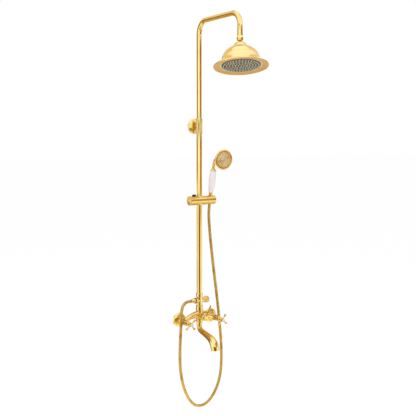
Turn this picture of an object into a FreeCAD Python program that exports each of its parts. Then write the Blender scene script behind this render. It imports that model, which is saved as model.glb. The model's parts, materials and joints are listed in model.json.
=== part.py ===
"""Exposed rainfall shower column: bath mixer, riser, overhead shower, handset on a slider, hose.

Frame: +X to the right along the wall, +Y into the wall, +Z up, millimetres.
The wall is the plane Y = 0, and Z = 0 is the height of the two water inlets, whose
midpoint on the wall is the origin.
"""
import FreeCAD, Part
import math
import os

V = FreeCAD.Vector

# ---- driving dimensions -------------------------------------------------------------------
# fits
FIT = 0.05                 # running clearance on a radius
GAP = 0.3                  # air between a moving piece and its neighbour
# riser and overhead arm
WALL_GAP = 40.0            # wall to the riser's axis
RISER_OD = 22.0
ARM_OD = 20.0
ARM_WALL = 1.0
ARM_Z = 1212.0             # height of the overhead arm's axis
ARM_REACH = 290.0          # riser's axis to the overhead shower's swivel
ARM_BEND = 50.0            # bend radius of the arm's axis
ARM_INSET = 160.0          # length of arm pipe inside the riser, below the bracket
GUIDE_RING = 16.0          # length of the telescope guide's ring
GUIDE_SPIGOT = 17.0
O_RING = 2.0               # section of the guide's two O-rings
# upper wall bracket
BRACKET_Z = 798.0
SLEEVE_OD = 26.0
SLEEVE_LEN = 63.0
BRACKET_ROD = 10.0
BRACKET_FLANGE_OD = 62.0
BRACKET_FLANGE_DEPTH = 13.0
WALL_PLATE_OD = 40.0
WALL_PLATE_T = 4.0
WALL_SCREW_D = 4.5
WALL_SCREW_PITCH = 28.0
SHEET = 1.2                # wall of the pressed shells
# overhead shower and its ball joint
SWIVEL_TOP_Z = 1132.0      # end of the arm pipe
BALL_Z = 1112.0
BALL_R = 8.5
SEAT_R = 10.0              # outer radius of the nylon seat cup
SWIVEL_OD = 25.0
NECK_R = 4.2
HEAD_DROP = 104.0          # ball centre to the rim
HEAD_D = 203.0
NOZZLE_FACE_D = 144.0
DOME_INSET = 2.0           # the dome's foot inside the nozzle face's edge
CAP_DOME_D = 54.0
HEAD_RING_W = 6.5
HEAD_RING_LIP = 2.0        # lip of the under ring, up beside the pale ring
HEAD_LEAN_FRONT = 12.3     # degrees that the shower face looks to the front
HEAD_LEAN_SIDE = 5.3       # degrees that it looks to the left
HEAD_NOZZLE_RINGS = 6
NOZZLE_EDGE = 7.2          # outer ring of nozzles to the plate's edge
NOZZLE_R = 2.3
NOZZLE_H = 4.0
# slider
SLIDER_Z = 497.0
BARREL_OD = 37.0
BARREL_LEFT = 46.0         # riser's axis to the barrel's left end
BARREL_RIGHT = 31.0        # riser's axis to the holder
END_CAP_T = 3.5
BUSH_WALL = 1.9
BUTTON_X = -25.0
BUTTON_L = 15.0
BUTTON_W = 8.0
BUTTON_PROUD = 6.5
SHOE_R = 6.0
SHOE_L = 9.0
# handset holder and handset
HOLDER_OD = 36.0
HOLDER_LEN = 40.0
SOCKET_X = 51.0            # riser's axis to the handset's axis
HAND_LEAN = 12.3           # degrees that the handset leans to the front
CONE_TOP_R = 8.2
CONE_BOTTOM_R = 7.2
CONE_ABOVE = 22.0          # cone nut above the slider's axis, along the handset
CONE_BELOW = 15.0
GRIP_START = 33.0          # along the handset's axis, from the slider's axis
GRIP_LEN = 91.0
GRIP_TOP_R = 11.8
GRIP_MID_R = 13.7
GRIP_BOTTOM_R = 9.6
TUBE_R = 5.5               # tie tube through the grip
TUBE_BORE = 3.8
COLLAR_LEN = 9.0
NECK_OD = 12.6
NECK_WALL = 1.2
NECK_BEND = 30.0
NECK_STRAIGHT = 18.0
NECK_LEVEL = 9.5           # straight end of the neck, before the bell
FACE_D = 80.0
FACE_DIP = 4.0             # degrees that the handset's face looks down
FACE_RIM = 5.0
HAND_BELL = 34.0           # depth of the handset's bell
HAND_NOZZLE_RINGS = 4
HAND_NOZZLE_PITCH = 7.0
HAND_NOZZLE_R = 1.3
# hose and its outlet
HOSE_OD = 12.0
OUTLET_Z = 82.0
OUTLET_OD = 20.0
OUTLET_LEN = 20.0          # riser's axis to the outlet's end
OUTLET_SEAL_OD = 24.5
OUTLET_SEAL_T = 3.0
HOSE_NUT_LEN = 16.0
# diverter
DIV_NUT_TOP_Z = 112.0
DIV_NUT_TOP_LEN = 16.0
DIV_NUT_TOP_OD = 27.4
DIV_BODY_OD = 24.0
DIV_NUT_LOW_Z = 38.0
DIV_NUT_LOW_LEN = 22.0
DIV_NUT_LOW_OD = 29.5
DIV_KNOB_OD = 28.0
DIV_KNOB_LEN = 22.0
DIV_KNOB_X = 19.0          # riser's axis to the knob's inner end
DIV_FLUTES = 12
SPINDLE_R = 4.0
# mixer
INLET_PITCH = 150.0
INLET_OFFSET = 8.0         # eccentricity of the wall unions
INLET_TURN = 20.0          # degrees that the eccentric looks above level
THREAD_R = 10.48
THREAD_LEN = 15.0          # union thread inside the wall
UNION_BARREL_R = 11.0
UNION_BORE = 7.5
ESC_OD = 60.0
ESC_DEPTH = 12.5
UNION_NUT_OD = 30.0
UNION_NUT_LEN = 13.0
VALVE_OD = 24.0
VALVE_BACK = 14.0          # valve barrel behind the riser's axis
VALVE_FRONT = 24.0         # and before it
ARCH_RISE = 23.0
ARCH_MIDDLE_R = 14.5
ARCH_END_R = 9.0
POST_OD = 28.0
POST_LOW_Z = -8.0
WATERWAY = 12.0
BONNET_OD = 20.0
BONNET_LEN = 20.0
CROSS_Y = 57.0             # riser's axis forward to the cross handles' arms
CROSS_REACH = 29.0
CROSS_ARM_R = 2.6
CROSS_TIP_R = 4.6
CROSS_HUB_R = 8.0
CROSS_HUB_BACK = 9.0
CROSS_HUB_FRONT = 12.5
CROSS_TURN_LEFT = 40.0
CROSS_TURN_RIGHT = 50.0
CERAMIC_R = 5.0
CERAMIC_H = 3.5
# bath diverter on the mixer's front
TUB_Z = 16.0
TUB_OD = 24.5
TUB_FRONT = 40.0           # riser's axis to the housing's front
LEVER_HUB_LEN = 11.0
LEVER_HUB_OD = 22.0
LEVER_REACH = 57.0
LEVER_R = 2.8
LEVER_LEAN = 27.0          # degrees that the lever leans right at rest
# bath spout
SPOUT_NUT_OD = 23.5
SPOUT_NUT_LEN = 19.0
SPOUT_WALL = 2.0
SPOUT_REACH = 123.5        # riser's axis to the mouth's centre
SPOUT_DROP = 74.0          # the nut's foot to the mouth's centre
SPOUT_ROOT_R = 10.4
SPOUT_MOUTH_R = 17.4
AERATOR_LEN = 8.0
AERATOR_INSET = 1.0        # the insert's end inside the spout's mouth

# ---- derived places -----------------------------------------------------------------------
RISER_Y = -WALL_GAP
RISER_BORE = ARM_OD / 2 + FIT
SLEEVE_STEP_Z = BRACKET_Z + SLEEVE_LEN / 6
GUIDE_TOP_Z = BRACKET_Z - ARM_INSET
SWIVEL_Y = RISER_Y - ARM_REACH
BALL = V(0, SWIVEL_Y, BALL_Z)
UP = V(0, 0, 1)
SLIDER = V(0, RISER_Y, SLIDER_Z)
BUSH_R = RISER_OD / 2 + FIT + BUSH_WALL
SOCKET = V(SOCKET_X, RISER_Y, SLIDER_Z)
LEAN = math.radians(HAND_LEAN)
HAND_AXIS = V(0, -math.sin(LEAN), math.cos(LEAN))
OUTLET = V(0, RISER_Y, OUTLET_Z)
INLET_X = INLET_PITCH / 2
VALVE_BACK_Y = RISER_Y + VALVE_BACK
VALVE_FRONT_Y = RISER_Y - VALVE_FRONT
CROSS_AXIS_Y = RISER_Y - CROSS_Y

# Control points of the hose, from the diverter's outlet nut to the handset's cone nut,
# as distances from the riser's axis (X, Y) and heights above the inlets (Z).
HOSE_START_X = -(OUTLET_LEN + OUTLET_SEAL_T + HOSE_NUT_LEN)
HOSE_FIRST_RUN = 18.5
HOSE_POINTS = [
    (HOSE_START_X, 0.0, OUTLET_Z),
    (HOSE_START_X - HOSE_FIRST_RUN, 0.0, OUTLET_Z),
    (-74.6, -3.5, 75.6),
    (-87.2, -9.0, 63.0),
    (-94.0, -14.0, 44.5),
    (-97.5, -18.5, 14.5),
    (-102.0, -21.5, -38.0),
    (-106.5, -22.0, -108.0),
    (-105.5, -21.0, -180.0),
    (-94.0, -18.0, -249.0),
    (-69.0, -15.0, -316.0),
    (-28.0, -12.0, -366.0),
    (28.0, -10.0, -368.0),
    (76.0, -7.0, -320.0),
    (104.0, -3.0, -250.0),
    (111.0, 2.0, -162.0),
    (106.0, 5.0, -58.0),
    (93.5, 8.0, 66.0),
    (76.5, 10.0, 196.0),
    (62.0, 11.0, 314.0),
    (54.0, 12.0, 398.0),
]
HOSE_END_RUN = 33.0        # straight out of the cone nut


# ---- helpers ------------------------------------------------------------------------------
def turned(shape, direction, origin):
    """Return the shape with its local +Z along direction and its origin moved to origin."""
    copy = shape.copy()
    copy.Placement = FreeCAD.Placement(V(*origin), FreeCAD.Rotation(UP, V(*direction)))
    return copy


def rod(radius, length, origin, direction=UP):
    """Return a solid cylinder from origin along direction."""
    return Part.makeCylinder(radius, length, V(*origin), V(*direction))


def pipe(outer, inner, length, origin, direction=UP):
    """Return a hollow cylinder from origin along direction."""
    return rod(outer, length, origin, direction).cut(rod(inner, length, origin, direction))


def lathe(profile, origin=V(0, 0, 0), direction=UP):
    """Turn a closed profile of (radius, height) points; an entry of two points is an arc."""
    edges = []
    first = None
    last = None
    for entry in profile + [profile[0]]:
        if isinstance(entry[0], tuple):
            middle, point = [V(r, 0, h) for r, h in entry]
            edges.append(Part.Arc(last, middle, point).toShape())
        else:
            point = V(entry[0], 0, entry[1])
            if last is not None and (point - last).Length > 1e-6:
                edges.append(Part.LineSegment(last, point).toShape())
        first = first or point
        last = point
    face = Part.Face(Part.Wire(edges))
    return turned(face.revolve(V(0, 0, 0), UP, 360), direction, origin)


def swept(wire, outer, inner=0.0):
    """Sweep a round or hollow round section along a path of lines and tangent arcs."""
    start = wire.Edges[0].Vertexes[0].Point
    tangent = wire.Edges[0].tangentAt(wire.Edges[0].FirstParameter)

    def body(radius):
        circle = Part.Wire(Part.makeCircle(radius, start, tangent))
        return wire.makePipe(Part.Face(circle))

    return body(outer).cut(body(inner)) if inner else body(outer)


def rounded_path(points, radii):
    """Join points by straight runs with a tangent arc of the given radius at each corner."""
    edges = []
    last = points[0]
    for before, corner, after, radius in zip(points, points[1:], points[2:], radii):
        arrive = (corner - before).normalize()
        leave = (after - corner).normalize()
        turn = arrive.getAngle(leave)
        reach = radius * math.tan(turn / 2)
        inward = (leave - arrive).normalize()
        start = corner - arrive * reach
        end = corner + leave * reach
        depth = radius / math.cos(turn / 2) - radius
        edges.append(Part.LineSegment(last, start).toShape())
        edges.append(Part.Arc(start, corner + inward * depth, end).toShape())
        last = end
    edges.append(Part.LineSegment(last, points[-1]).toShape())
    return Part.Wire(edges)


def cord_radii(points):
    """Return each corner's arc radius, 0.45 of the shorter run over the half turn's tangent."""
    radii = []
    for before, corner, after in zip(points, points[1:], points[2:]):
        arrive = corner - before
        leave = after - corner
        half = arrive.getAngle(leave) / 2
        radii.append(0.45 * min(arrive.Length, leave.Length) / math.tan(half))
    return radii


def ring_places(count, radius, start=0.0):
    """Return points evenly spaced on a circle round the origin."""
    step = 2 * math.pi / count
    return [V(radius * math.cos(start + i * step), radius * math.sin(start + i * step), 0)
            for i in range(count)]


def joined(shapes):
    """Fuse touching or overlapping shapes to one solid."""
    return shapes[0].fuse(shapes[1:]).removeSplitter()


def group(shapes):
    """Return separate solids as one compound."""
    return Part.Compound(shapes)


def nozzle_places(rings, pitch):
    """Return a centre place and rings of places, six more on each ring than on the last."""
    places = [V(0, 0, 0)]
    for ring in range(1, rings + 1):
        places += ring_places(6 * ring, ring * pitch, 0.3 * ring)
    return places


# ---- upper wall bracket -------------------------------------------------------------------
ROD_NOSE = SLEEVE_OD / 2 - 1.2          # riser's axis to the rod's end in the sleeve
BOSS_R = BRACKET_ROD / 2 + 3
BOSS_LEN = 6.0
SLEEVE_SCREW_R = 2.0


def bracket_wall_plate():
    """Screwed to the wall, with a boss that takes the rod's thread."""
    centre = V(0, 0, BRACKET_Z)
    back = V(0, -1, 0)
    plate = rod(WALL_PLATE_OD / 2, WALL_PLATE_T, centre, back)
    boss = rod(BOSS_R, WALL_PLATE_T + BOSS_LEN, centre, back)
    plate = joined([plate, boss])
    plate = plate.cut(rod(BRACKET_ROD / 2 + FIT, BOSS_LEN, centre - V(0, WALL_PLATE_T, 0), back))
    for side in (-1, 1):
        hole = centre + V(side * WALL_SCREW_PITCH / 2, 0, 0)
        plate = plate.cut(rod(WALL_SCREW_D / 2, WALL_PLATE_T, hole, back))
    return plate


def bracket_flange():
    """Domed cover over the wall plate."""
    r = BRACKET_FLANGE_OD / 2
    hole = BRACKET_ROD / 2 + FIT
    depth = BRACKET_FLANGE_DEPTH
    outer = [(r, 0), (r, 2.0), ((r * 0.72, depth * 0.72), (hole + 1.5, depth)), (hole, depth)]
    inner = [(hole, depth - SHEET), (hole + 1.5, depth - SHEET),
             ((r * 0.7, depth * 0.72 - SHEET), (r - SHEET, 1.0)), (r - SHEET, 0)]
    return lathe(outer + inner, V(0, 0, BRACKET_Z), V(0, -1, 0))


def bracket_arm():
    """Round rod from the wall plate to the sleeve."""
    start = V(0, -WALL_PLATE_T, BRACKET_Z)
    return rod(BRACKET_ROD / 2, WALL_GAP - WALL_PLATE_T - ROD_NOSE, start, V(0, -1, 0))


def bracket_sleeve():
    """Sleeve that holds the riser's top and guides the arm pipe."""
    low = V(0, RISER_Y, BRACKET_Z - SLEEVE_LEN / 2)
    round_off = 1.5
    r = SLEEVE_OD / 2
    bore = ARM_OD / 2 + FIT
    sleeve = lathe([(bore, 0), (r - round_off, 0), (r, round_off), (r, SLEEVE_LEN - round_off),
                    (r - round_off, SLEEVE_LEN), (bore, SLEEVE_LEN)], low)
    sleeve = sleeve.cut(rod(RISER_OD / 2 + FIT, SLEEVE_STEP_Z - low.z, low))
    sleeve = sleeve.cut(rod(BRACKET_ROD / 2 + FIT, r, V(0, RISER_Y + ROD_NOSE, BRACKET_Z), V(0, 1, 0)))
    for screw in sleeve_screw_axes():
        sleeve = sleeve.cut(rod(SLEEVE_SCREW_R + FIT, r, screw, V(1, 0, 0)))
    return sleeve


def sleeve_screw_axes():
    """Return where the two grub screws' axes leave the riser's axis."""
    return [V(0, RISER_Y, BRACKET_Z - SLEEVE_LEN / 3), V(0, RISER_Y, BRACKET_Z - SLEEVE_LEN / 6)]


def sleeve_grub_screws():
    """Socket screws that lock the sleeve on the riser."""
    start = RISER_OD / 2 + FIT
    length = SLEEVE_OD / 2 - start - GAP
    screws = []
    for axis in sleeve_screw_axes():
        screws.append(rod(SLEEVE_SCREW_R, length, axis + V(start, 0, 0), V(1, 0, 0)))
    return group(screws)


# ---- riser, telescope and overhead arm ----------------------------------------------------
def riser_pipe():
    """Lower pipe from the diverter to the bracket."""
    length = SLEEVE_STEP_Z - RISER_LOW_Z
    return pipe(RISER_OD / 2, RISER_BORE, length, V(0, RISER_Y, RISER_LOW_Z))


RISER_LOW_Z = DIV_NUT_TOP_Z - DIV_NUT_TOP_LEN + 2.0
GUIDE_BORE = ARM_OD / 2 - ARM_WALL - 2.0
O_RING_STEP = GUIDE_RING / 4


def telescope_guide():
    """Bush at the arm pipe's lower end; it slides in the riser and carries the O-rings."""
    ring_r = ARM_OD / 2
    spigot_r = ring_r - ARM_WALL - FIT
    low = V(0, RISER_Y, GUIDE_TOP_Z - GUIDE_RING - GAP)
    guide = joined([rod(ring_r, GUIDE_RING, low), rod(spigot_r, GUIDE_RING + GUIDE_SPIGOT, low)])
    guide = guide.cut(rod(GUIDE_BORE, GUIDE_RING + GUIDE_SPIGOT, low))
    groove = O_RING + 2 * FIT
    for step in (1, 3):
        base = low + V(0, 0, step * O_RING_STEP - groove / 2)
        guide = guide.cut(pipe(ring_r + 1, ring_r - O_RING, groove, base))
    return guide


def telescope_o_rings():
    """Two rubber rings that seal the telescope."""
    rings = []
    for step in (1, 3):
        centre = V(0, RISER_Y, GUIDE_TOP_Z - GUIDE_RING - GAP + step * O_RING_STEP)
        rings.append(Part.makeTorus(RISER_BORE - FIT / 2 - O_RING / 2, O_RING / 2, centre, UP))
    return group(rings)


def gooseneck_pipe():
    """Upper pipe: up out of the riser, over to the front and down to the swivel."""
    points = [V(0, RISER_Y, GUIDE_TOP_Z), V(0, RISER_Y, ARM_Z), V(0, SWIVEL_Y, ARM_Z),
              V(0, SWIVEL_Y, SWIVEL_TOP_Z)]
    path = rounded_path(points, [ARM_BEND, ARM_BEND])
    return swept(path, ARM_OD / 2, ARM_OD / 2 - ARM_WALL)


# ---- swivel joint -------------------------------------------------------------------------
NIPPLE_IN_PIPE = 12.0
NIPPLE_BELOW = 8.0
NIPPLE_R = ARM_OD / 2 - ARM_WALL
NUT_LIP = 6.4
CUP_LOW = 32.0             # degrees above the ball's equator
CUP_HIGH = 54.0


def arm_end_nipple():
    """Threaded nipple brazed into the arm pipe's end."""
    low = V(0, SWIVEL_Y, SWIVEL_TOP_Z - NIPPLE_BELOW)
    return pipe(NIPPLE_R, NIPPLE_R - 3.0, NIPPLE_BELOW + NIPPLE_IN_PIPE, low)


def swivel_nut():
    """Nut with the ball's socket; its spherical seat keeps the ball in."""
    top = SWIVEL_TOP_Z - BALL_Z
    bore = NIPPLE_R + FIT
    cup = SEAT_R + FIT
    ball = BALL_R + FIT
    lip_drop = math.sqrt(ball ** 2 - NUT_LIP ** 2)
    hole_r = cup * 0.5
    hole_z = cup * math.sqrt(0.75)
    throat_z = top - NIPPLE_BELOW - 1.0
    rim_r = SWIVEL_OD / 2
    mid = math.sqrt(0.5)
    profile = [
        (bore, top), (ARM_OD / 2 + 0.6, top), (ARM_OD / 2 + 0.6, top - 5.0),
        (ARM_OD / 2 + 0.1, top - 6.0), (ARM_OD / 2 + 0.4, top - 8.5),
        ((rim_r, 4.5), (rim_r - 0.6, 0.5)), ((rim_r - 2.2, -4.4), (NUT_LIP + 1.2, -lip_drop - 1.4)),
        (NUT_LIP, -lip_drop), ((ball * math.cos(0.35), -ball * math.sin(0.35)), (ball, 0)),
        (cup, 0), ((cup * mid, cup * mid), (hole_r, hole_z)), (hole_r, throat_z), (bore, throat_z),
    ]
    return lathe(profile, BALL)


def ball_seat_cup():
    """Nylon cup on the ball's upper half, loose in the nut."""
    inner = BALL_R + FIT
    low = math.radians(CUP_LOW)
    high = math.radians(CUP_HIGH)
    mid = (low + high) / 2

    def at(radius, angle):
        return radius * math.cos(angle), radius * math.sin(angle)

    return lathe([at(inner, low), at(SEAT_R, low), (at(SEAT_R, mid), at(SEAT_R, high)),
                  at(inner, high), (at(inner, mid), at(inner, low))], BALL)


def head_direction():
    """Return the way the overhead shower looks at rest."""
    return V(-math.tan(math.radians(HEAD_LEAN_SIDE)), -math.tan(math.radians(HEAD_LEAN_FRONT)),
             -1).normalize()


STEM_R = 6.0
STEM_START = 10.8
STEM_LEN = 14.0
STEM_BORE = 2.8


def ball_connector():
    """Ball with a neck and a threaded stem."""
    down = head_direction()
    ball = Part.makeSphere(BALL_R, BALL)
    neck = rod(NECK_R, STEM_START + 1, BALL, down)
    stem = rod(STEM_R, STEM_LEN, BALL + down * STEM_START, down)
    body = joined([ball, neck, stem])
    bore_start = BALL - down * (BALL_R + 1)
    return body.cut(rod(STEM_BORE, BALL_R + 2 + STEM_START + STEM_LEN, bore_start, down))


# ---- overhead shower ----------------------------------------------------------------------
SHELL_TOP = STEM_START + 0.4
LOCK_NUT_LEN = 6.5
LOCK_NUT_R = 8.8
CAP_DOME_END = 29.0
DOME_START = 31.5
DOME_END = 75.0
BRIM_FLARE = 0.27          # share of the brim's width at the middle of its curve
NOZZLE_PITCH = (NOZZLE_FACE_D / 2 - NOZZLE_EDGE) / HEAD_NOZZLE_RINGS
FACE_DEPTH = HEAD_DROP - 4.0      # ball centre to the nozzle plate's face
PLATE_T = 2.5


def shell_outline(inset):
    """Return the bell's outline from the stem to the rim, moved in by the sheet's thickness."""
    cap_r = CAP_DOME_D / 2 - inset
    dome_r = NOZZLE_FACE_D / 2 - DOME_INSET - inset
    rim_r = HEAD_D / 2 - inset * 0.3
    top_r = 9.0
    drop = inset
    groove_r = cap_r - 1.2
    flare_r = dome_r + BRIM_FLARE * (rim_r - dome_r)
    return [
        (top_r, SHELL_TOP + drop),
        ((cap_r * 0.78, SHELL_TOP + 6.2 + drop), (cap_r, CAP_DOME_END)),
        (groove_r, CAP_DOME_END + 1.2 + drop / 2),
        (cap_r + 2.2, DOME_START + drop),
        ((dome_r * 0.82, DOME_START + 15.6 + drop), (dome_r, DOME_END)),
        ((flare_r, DOME_END + 15.5 + drop), (rim_r - 3.0, HEAD_DROP - 4.5 + drop)),
    ]


def head_shell():
    """Pressed bell with a small upper dome, a main dome and a flared brim."""
    stem_hole = STEM_R + FIT
    rim_r = HEAD_D / 2
    outer = shell_outline(0.0)
    inner = shell_outline(SHEET)
    rim = [((rim_r - 0.2, HEAD_DROP - 3.2), (rim_r, HEAD_DROP - 1.6)), (rim_r - 0.8, HEAD_DROP),
           (rim_r - 2.4, HEAD_DROP)]
    back = []
    ends = [entry if not isinstance(entry[0], tuple) else entry[1] for entry in inner]
    back.append(ends[-1])
    for index in range(len(inner) - 1, 0, -1):
        entry = inner[index]
        target = ends[index - 1]
        back.append((entry[0], target) if isinstance(entry[0], tuple) else target)
    profile = [(stem_hole, SHELL_TOP)] + outer + rim + back + [(stem_hole, SHELL_TOP + SHEET)]
    return lathe(profile, BALL, head_direction())


def head_lock_nut():
    """Hexagon nut that clamps the bell on the stem."""
    down = head_direction()
    points = ring_places(6, LOCK_NUT_R) + ring_places(6, LOCK_NUT_R)[:1]
    prism = Part.Face(Part.makePolygon(points)).extrude(V(0, 0, LOCK_NUT_LEN))
    prism = prism.cut(rod(STEM_R + FIT, LOCK_NUT_LEN, V(0, 0, 0)))
    return turned(prism, down, BALL + down * (SHELL_TOP + SHEET))


def head_under_ring():
    """Gold annulus that closes the brim from below."""
    inner = NOZZLE_FACE_D / 2 + HEAD_RING_W
    outer = HEAD_D / 2 - 3.2
    low = HEAD_DROP - 0.8
    high = FACE_DEPTH + 0.6
    return lathe([(inner, high), (outer, low), (outer, low - SHEET), (inner + SHEET, high - SHEET),
                  (inner + SHEET, high - SHEET - HEAD_RING_LIP), (inner, high - SHEET - HEAD_RING_LIP)],
                 BALL, head_direction())


def head_retaining_ring():
    """Pale ring that holds the nozzle plate."""
    inner = NOZZLE_FACE_D / 2
    outer = inner + HEAD_RING_W - FIT
    return lathe([(inner + FIT, FACE_DEPTH - 4.0), (outer, FACE_DEPTH - 4.0), (outer, FACE_DEPTH + 0.4),
                  (inner + FIT, FACE_DEPTH - 0.6)], BALL, head_direction())


def head_nozzle_plate():
    """Perforated plate that the rubber nozzles come through."""
    r = NOZZLE_FACE_D / 2
    plate = rod(r, PLATE_T, V(0, 0, FACE_DEPTH - PLATE_T))
    holes = [rod(NOZZLE_R, PLATE_T, place + V(0, 0, FACE_DEPTH - PLATE_T))
             for place in nozzle_places(HEAD_NOZZLE_RINGS, NOZZLE_PITCH)]
    return turned(plate.cut(Part.Compound(holes)), head_direction(), BALL)


def head_nozzles():
    """Rubber nozzles, each a short tapered tip on a plug."""
    tip = lathe([(0, 0), (NOZZLE_R, 0), (NOZZLE_R, PLATE_T), (NOZZLE_R * 0.55, PLATE_T + NOZZLE_H),
                 (0, PLATE_T + NOZZLE_H)])
    tips = []
    for place in nozzle_places(HEAD_NOZZLE_RINGS, NOZZLE_PITCH):
        tips.append(turned(tip, UP, place + V(0, 0, FACE_DEPTH - PLATE_T)))
    return turned(group(tips), head_direction(), BALL)


# ---- slider -------------------------------------------------------------------------------
BARREL_R = BARREL_OD / 2
CAVITY_R = 11.0
CAVITY_END = -(BUSH_R + 4.5)
SHOE_FACE_R = BUSH_R + GAP
BUTTON_Z = 4.0
SLIDER_WALL = BARREL_LEFT + BARREL_RIGHT
BUSH_LEN = BARREL_OD - 4.0
PIVOT_R = 5.0
PIVOT_HEAD_R = 7.5
PIVOT_HEAD_T = 3.0
PIVOT_SHANK = 5.0
PIVOT_IN_HOLDER = 4.0


def slider_bush():
    """Plastic liner that runs on the riser."""
    low = SLIDER - V(0, 0, BUSH_LEN / 2)
    return pipe(BUSH_R, RISER_OD / 2 + FIT, BUSH_LEN, low)


def slider_body():
    """Barrel along X with the riser's bore, the brake's cavity and the button's slot."""
    left = SLIDER - V(BARREL_LEFT, 0, 0)
    barrel = rod(BARREL_R, SLIDER_WALL, left, V(1, 0, 0))
    bore = rod(RISER_OD / 2 + GAP, BARREL_OD, SLIDER - V(0, 0, BARREL_R))
    liner = rod(BUSH_R + FIT, BUSH_LEN + 2 * FIT, SLIDER - V(0, 0, BUSH_LEN / 2 + FIT))
    cavity = rod(CAVITY_R, BARREL_LEFT + CAVITY_END, left, V(1, 0, 0))
    passage = rod(SHOE_R + FIT, BARREL_LEFT, left, V(1, 0, 0))
    slot = Part.makeBox(BUTTON_L + 2 * GAP, BUTTON_W + 2 * GAP, BARREL_OD,
                        SLIDER + V(BUTTON_X - BUTTON_L / 2 - GAP, -BUTTON_W / 2 - GAP, 0))
    hub = rod(BUSH_R + 2 * FIT, BARREL_R, SLIDER)
    slot = slot.cut(hub)
    shank = rod(PIVOT_R + FIT, BARREL_RIGHT, SLIDER, V(1, 0, 0))
    head = rod(PIVOT_HEAD_R + FIT, PIVOT_HEAD_T + FIT,
               SLIDER + V(BARREL_RIGHT - PIVOT_SHANK - PIVOT_HEAD_T - FIT, 0, 0), V(1, 0, 0))
    body = barrel
    for tool in (bore, liner, cavity, passage, slot, shank, head):
        body = body.cut(tool)
    return body


def slider_end_cap():
    """Polished disc that closes the barrel's left end."""
    start = SLIDER - V(BARREL_LEFT, 0, 0)
    r = BARREL_R
    cap = lathe([(0, 0), (r, 0), (r, END_CAP_T - 1.2), (r - 1.2, END_CAP_T), (0, END_CAP_T + 0.5)],
                start, V(-1, 0, 0))
    plug = pipe(CAVITY_R - FIT, CAVITY_R - 2.0, 3.0, start, V(1, 0, 0))
    return joined([cap, plug])


SHOE_HEAD_R = 8.0
SHOE_HEAD_T = 2.0
SPRING_R = 5.0
SPRING_WIRE = 0.6
SPRING_TURNS = 5


def brake_shoe():
    """Nylon shoe that the spring holds against the liner."""
    shoe = rod(SHOE_R, RISER_OD / 2 + SHOE_L, SLIDER, V(-1, 0, 0))
    head = rod(SHOE_HEAD_R, SHOE_HEAD_T, SLIDER - V(RISER_OD / 2 + SHOE_L, 0, 0), V(-1, 0, 0))
    clearance = rod(SHOE_FACE_R, BARREL_OD, SLIDER - V(0, 0, BARREL_R))
    return joined([shoe, head]).cut(clearance)


def brake_spring():
    """Coil spring between the end cap and the shoe's head."""
    start = -(RISER_OD / 2 + SHOE_L + SHOE_HEAD_T) - SPRING_WIRE
    length = BARREL_LEFT + start - SPRING_WIRE
    helix = Part.makeHelix(length / SPRING_TURNS, length, SPRING_R)
    tangent = helix.Edges[0].tangentAt(helix.Edges[0].FirstParameter)
    section = Part.Wire(Part.makeCircle(SPRING_WIRE, V(SPRING_R, 0, 0), tangent))
    coil = Part.Wire(helix.Edges).makePipeShell([section], True, True)
    return turned(coil, V(-1, 0, 0), SLIDER + V(start, 0, 0))


def release_button():
    """Black tab on top of the barrel that frees the brake."""
    low = SLIDER + V(BUTTON_X - BUTTON_L / 2, -BUTTON_W / 2, CAVITY_R + BUTTON_Z)
    height = BARREL_R + BUTTON_PROUD - CAVITY_R - BUTTON_Z
    tab = Part.makeBox(BUTTON_L, BUTTON_W, height, low)
    top = [edge for edge in tab.Edges if edge.BoundBox.ZMin > low.z + height - 0.01]
    tab = tab.makeFillet(1.2, top)
    return tab


# ---- handset holder -----------------------------------------------------------------------
HOLDER_START = BARREL_RIGHT + GAP
HOLDER_R = HOLDER_OD / 2


def cone_radius(along, clearance=0.0):
    """Return the cone nut's radius at a distance along the handset from the slider's axis."""
    share = (along + CONE_BELOW) / (CONE_ABOVE + CONE_BELOW)
    return CONE_BOTTOM_R + share * (CONE_TOP_R - CONE_BOTTOM_R) + clearance


def handset_holder():
    """Rotating end of the slider with the handset's tapered socket."""
    start = SLIDER + V(HOLDER_START, 0, 0)
    length = HOLDER_LEN
    r = HOLDER_R
    holder = lathe([(0, 0), (r, 0), (r, length - 1.5), (r - 1.5, length), (0, length + 0.6)],
                   start, V(1, 0, 0))
    reach = HOLDER_OD
    socket = Part.makeCone(cone_radius(-reach, FIT), cone_radius(reach, FIT), 2 * reach,
                           SOCKET - HAND_AXIS * reach, HAND_AXIS)
    holder = holder.cut(socket)
    return holder.cut(rod(PIVOT_R + FIT, PIVOT_IN_HOLDER, start, V(1, 0, 0)))


def holder_pivot_bolt():
    """Shoulder bolt that the holder turns on."""
    head_x = BARREL_RIGHT - PIVOT_SHANK - PIVOT_HEAD_T
    head = rod(PIVOT_HEAD_R, PIVOT_HEAD_T, SLIDER + V(head_x, 0, 0), V(1, 0, 0))
    shank_end = HOLDER_START + PIVOT_IN_HOLDER - GAP
    shank = rod(PIVOT_R, shank_end - head_x, SLIDER + V(head_x, 0, 0), V(1, 0, 0))
    return joined([head, shank])


# ---- handset ------------------------------------------------------------------------------
def along_hand(distance):
    """Return the point on the handset's axis at a distance from the slider's axis."""
    return SOCKET + HAND_AXIS * distance


FERRULE_R = TUBE_R + 1.5
NUT_SOCKET = 8.0


def hose_cone_nut():
    """Tapered nut on the hose's end; it sits in the holder and takes the handset's thread."""
    length = CONE_ABOVE + CONE_BELOW
    body = Part.makeCone(CONE_BOTTOM_R, CONE_TOP_R, length, along_hand(-CONE_BELOW), HAND_AXIS)
    body = body.cut(rod(TUBE_R + FIT, NUT_SOCKET + 1, along_hand(CONE_ABOVE - NUT_SOCKET), HAND_AXIS))
    return body.cut(rod(TUBE_BORE, length, along_hand(-CONE_BELOW), HAND_AXIS))


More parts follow.
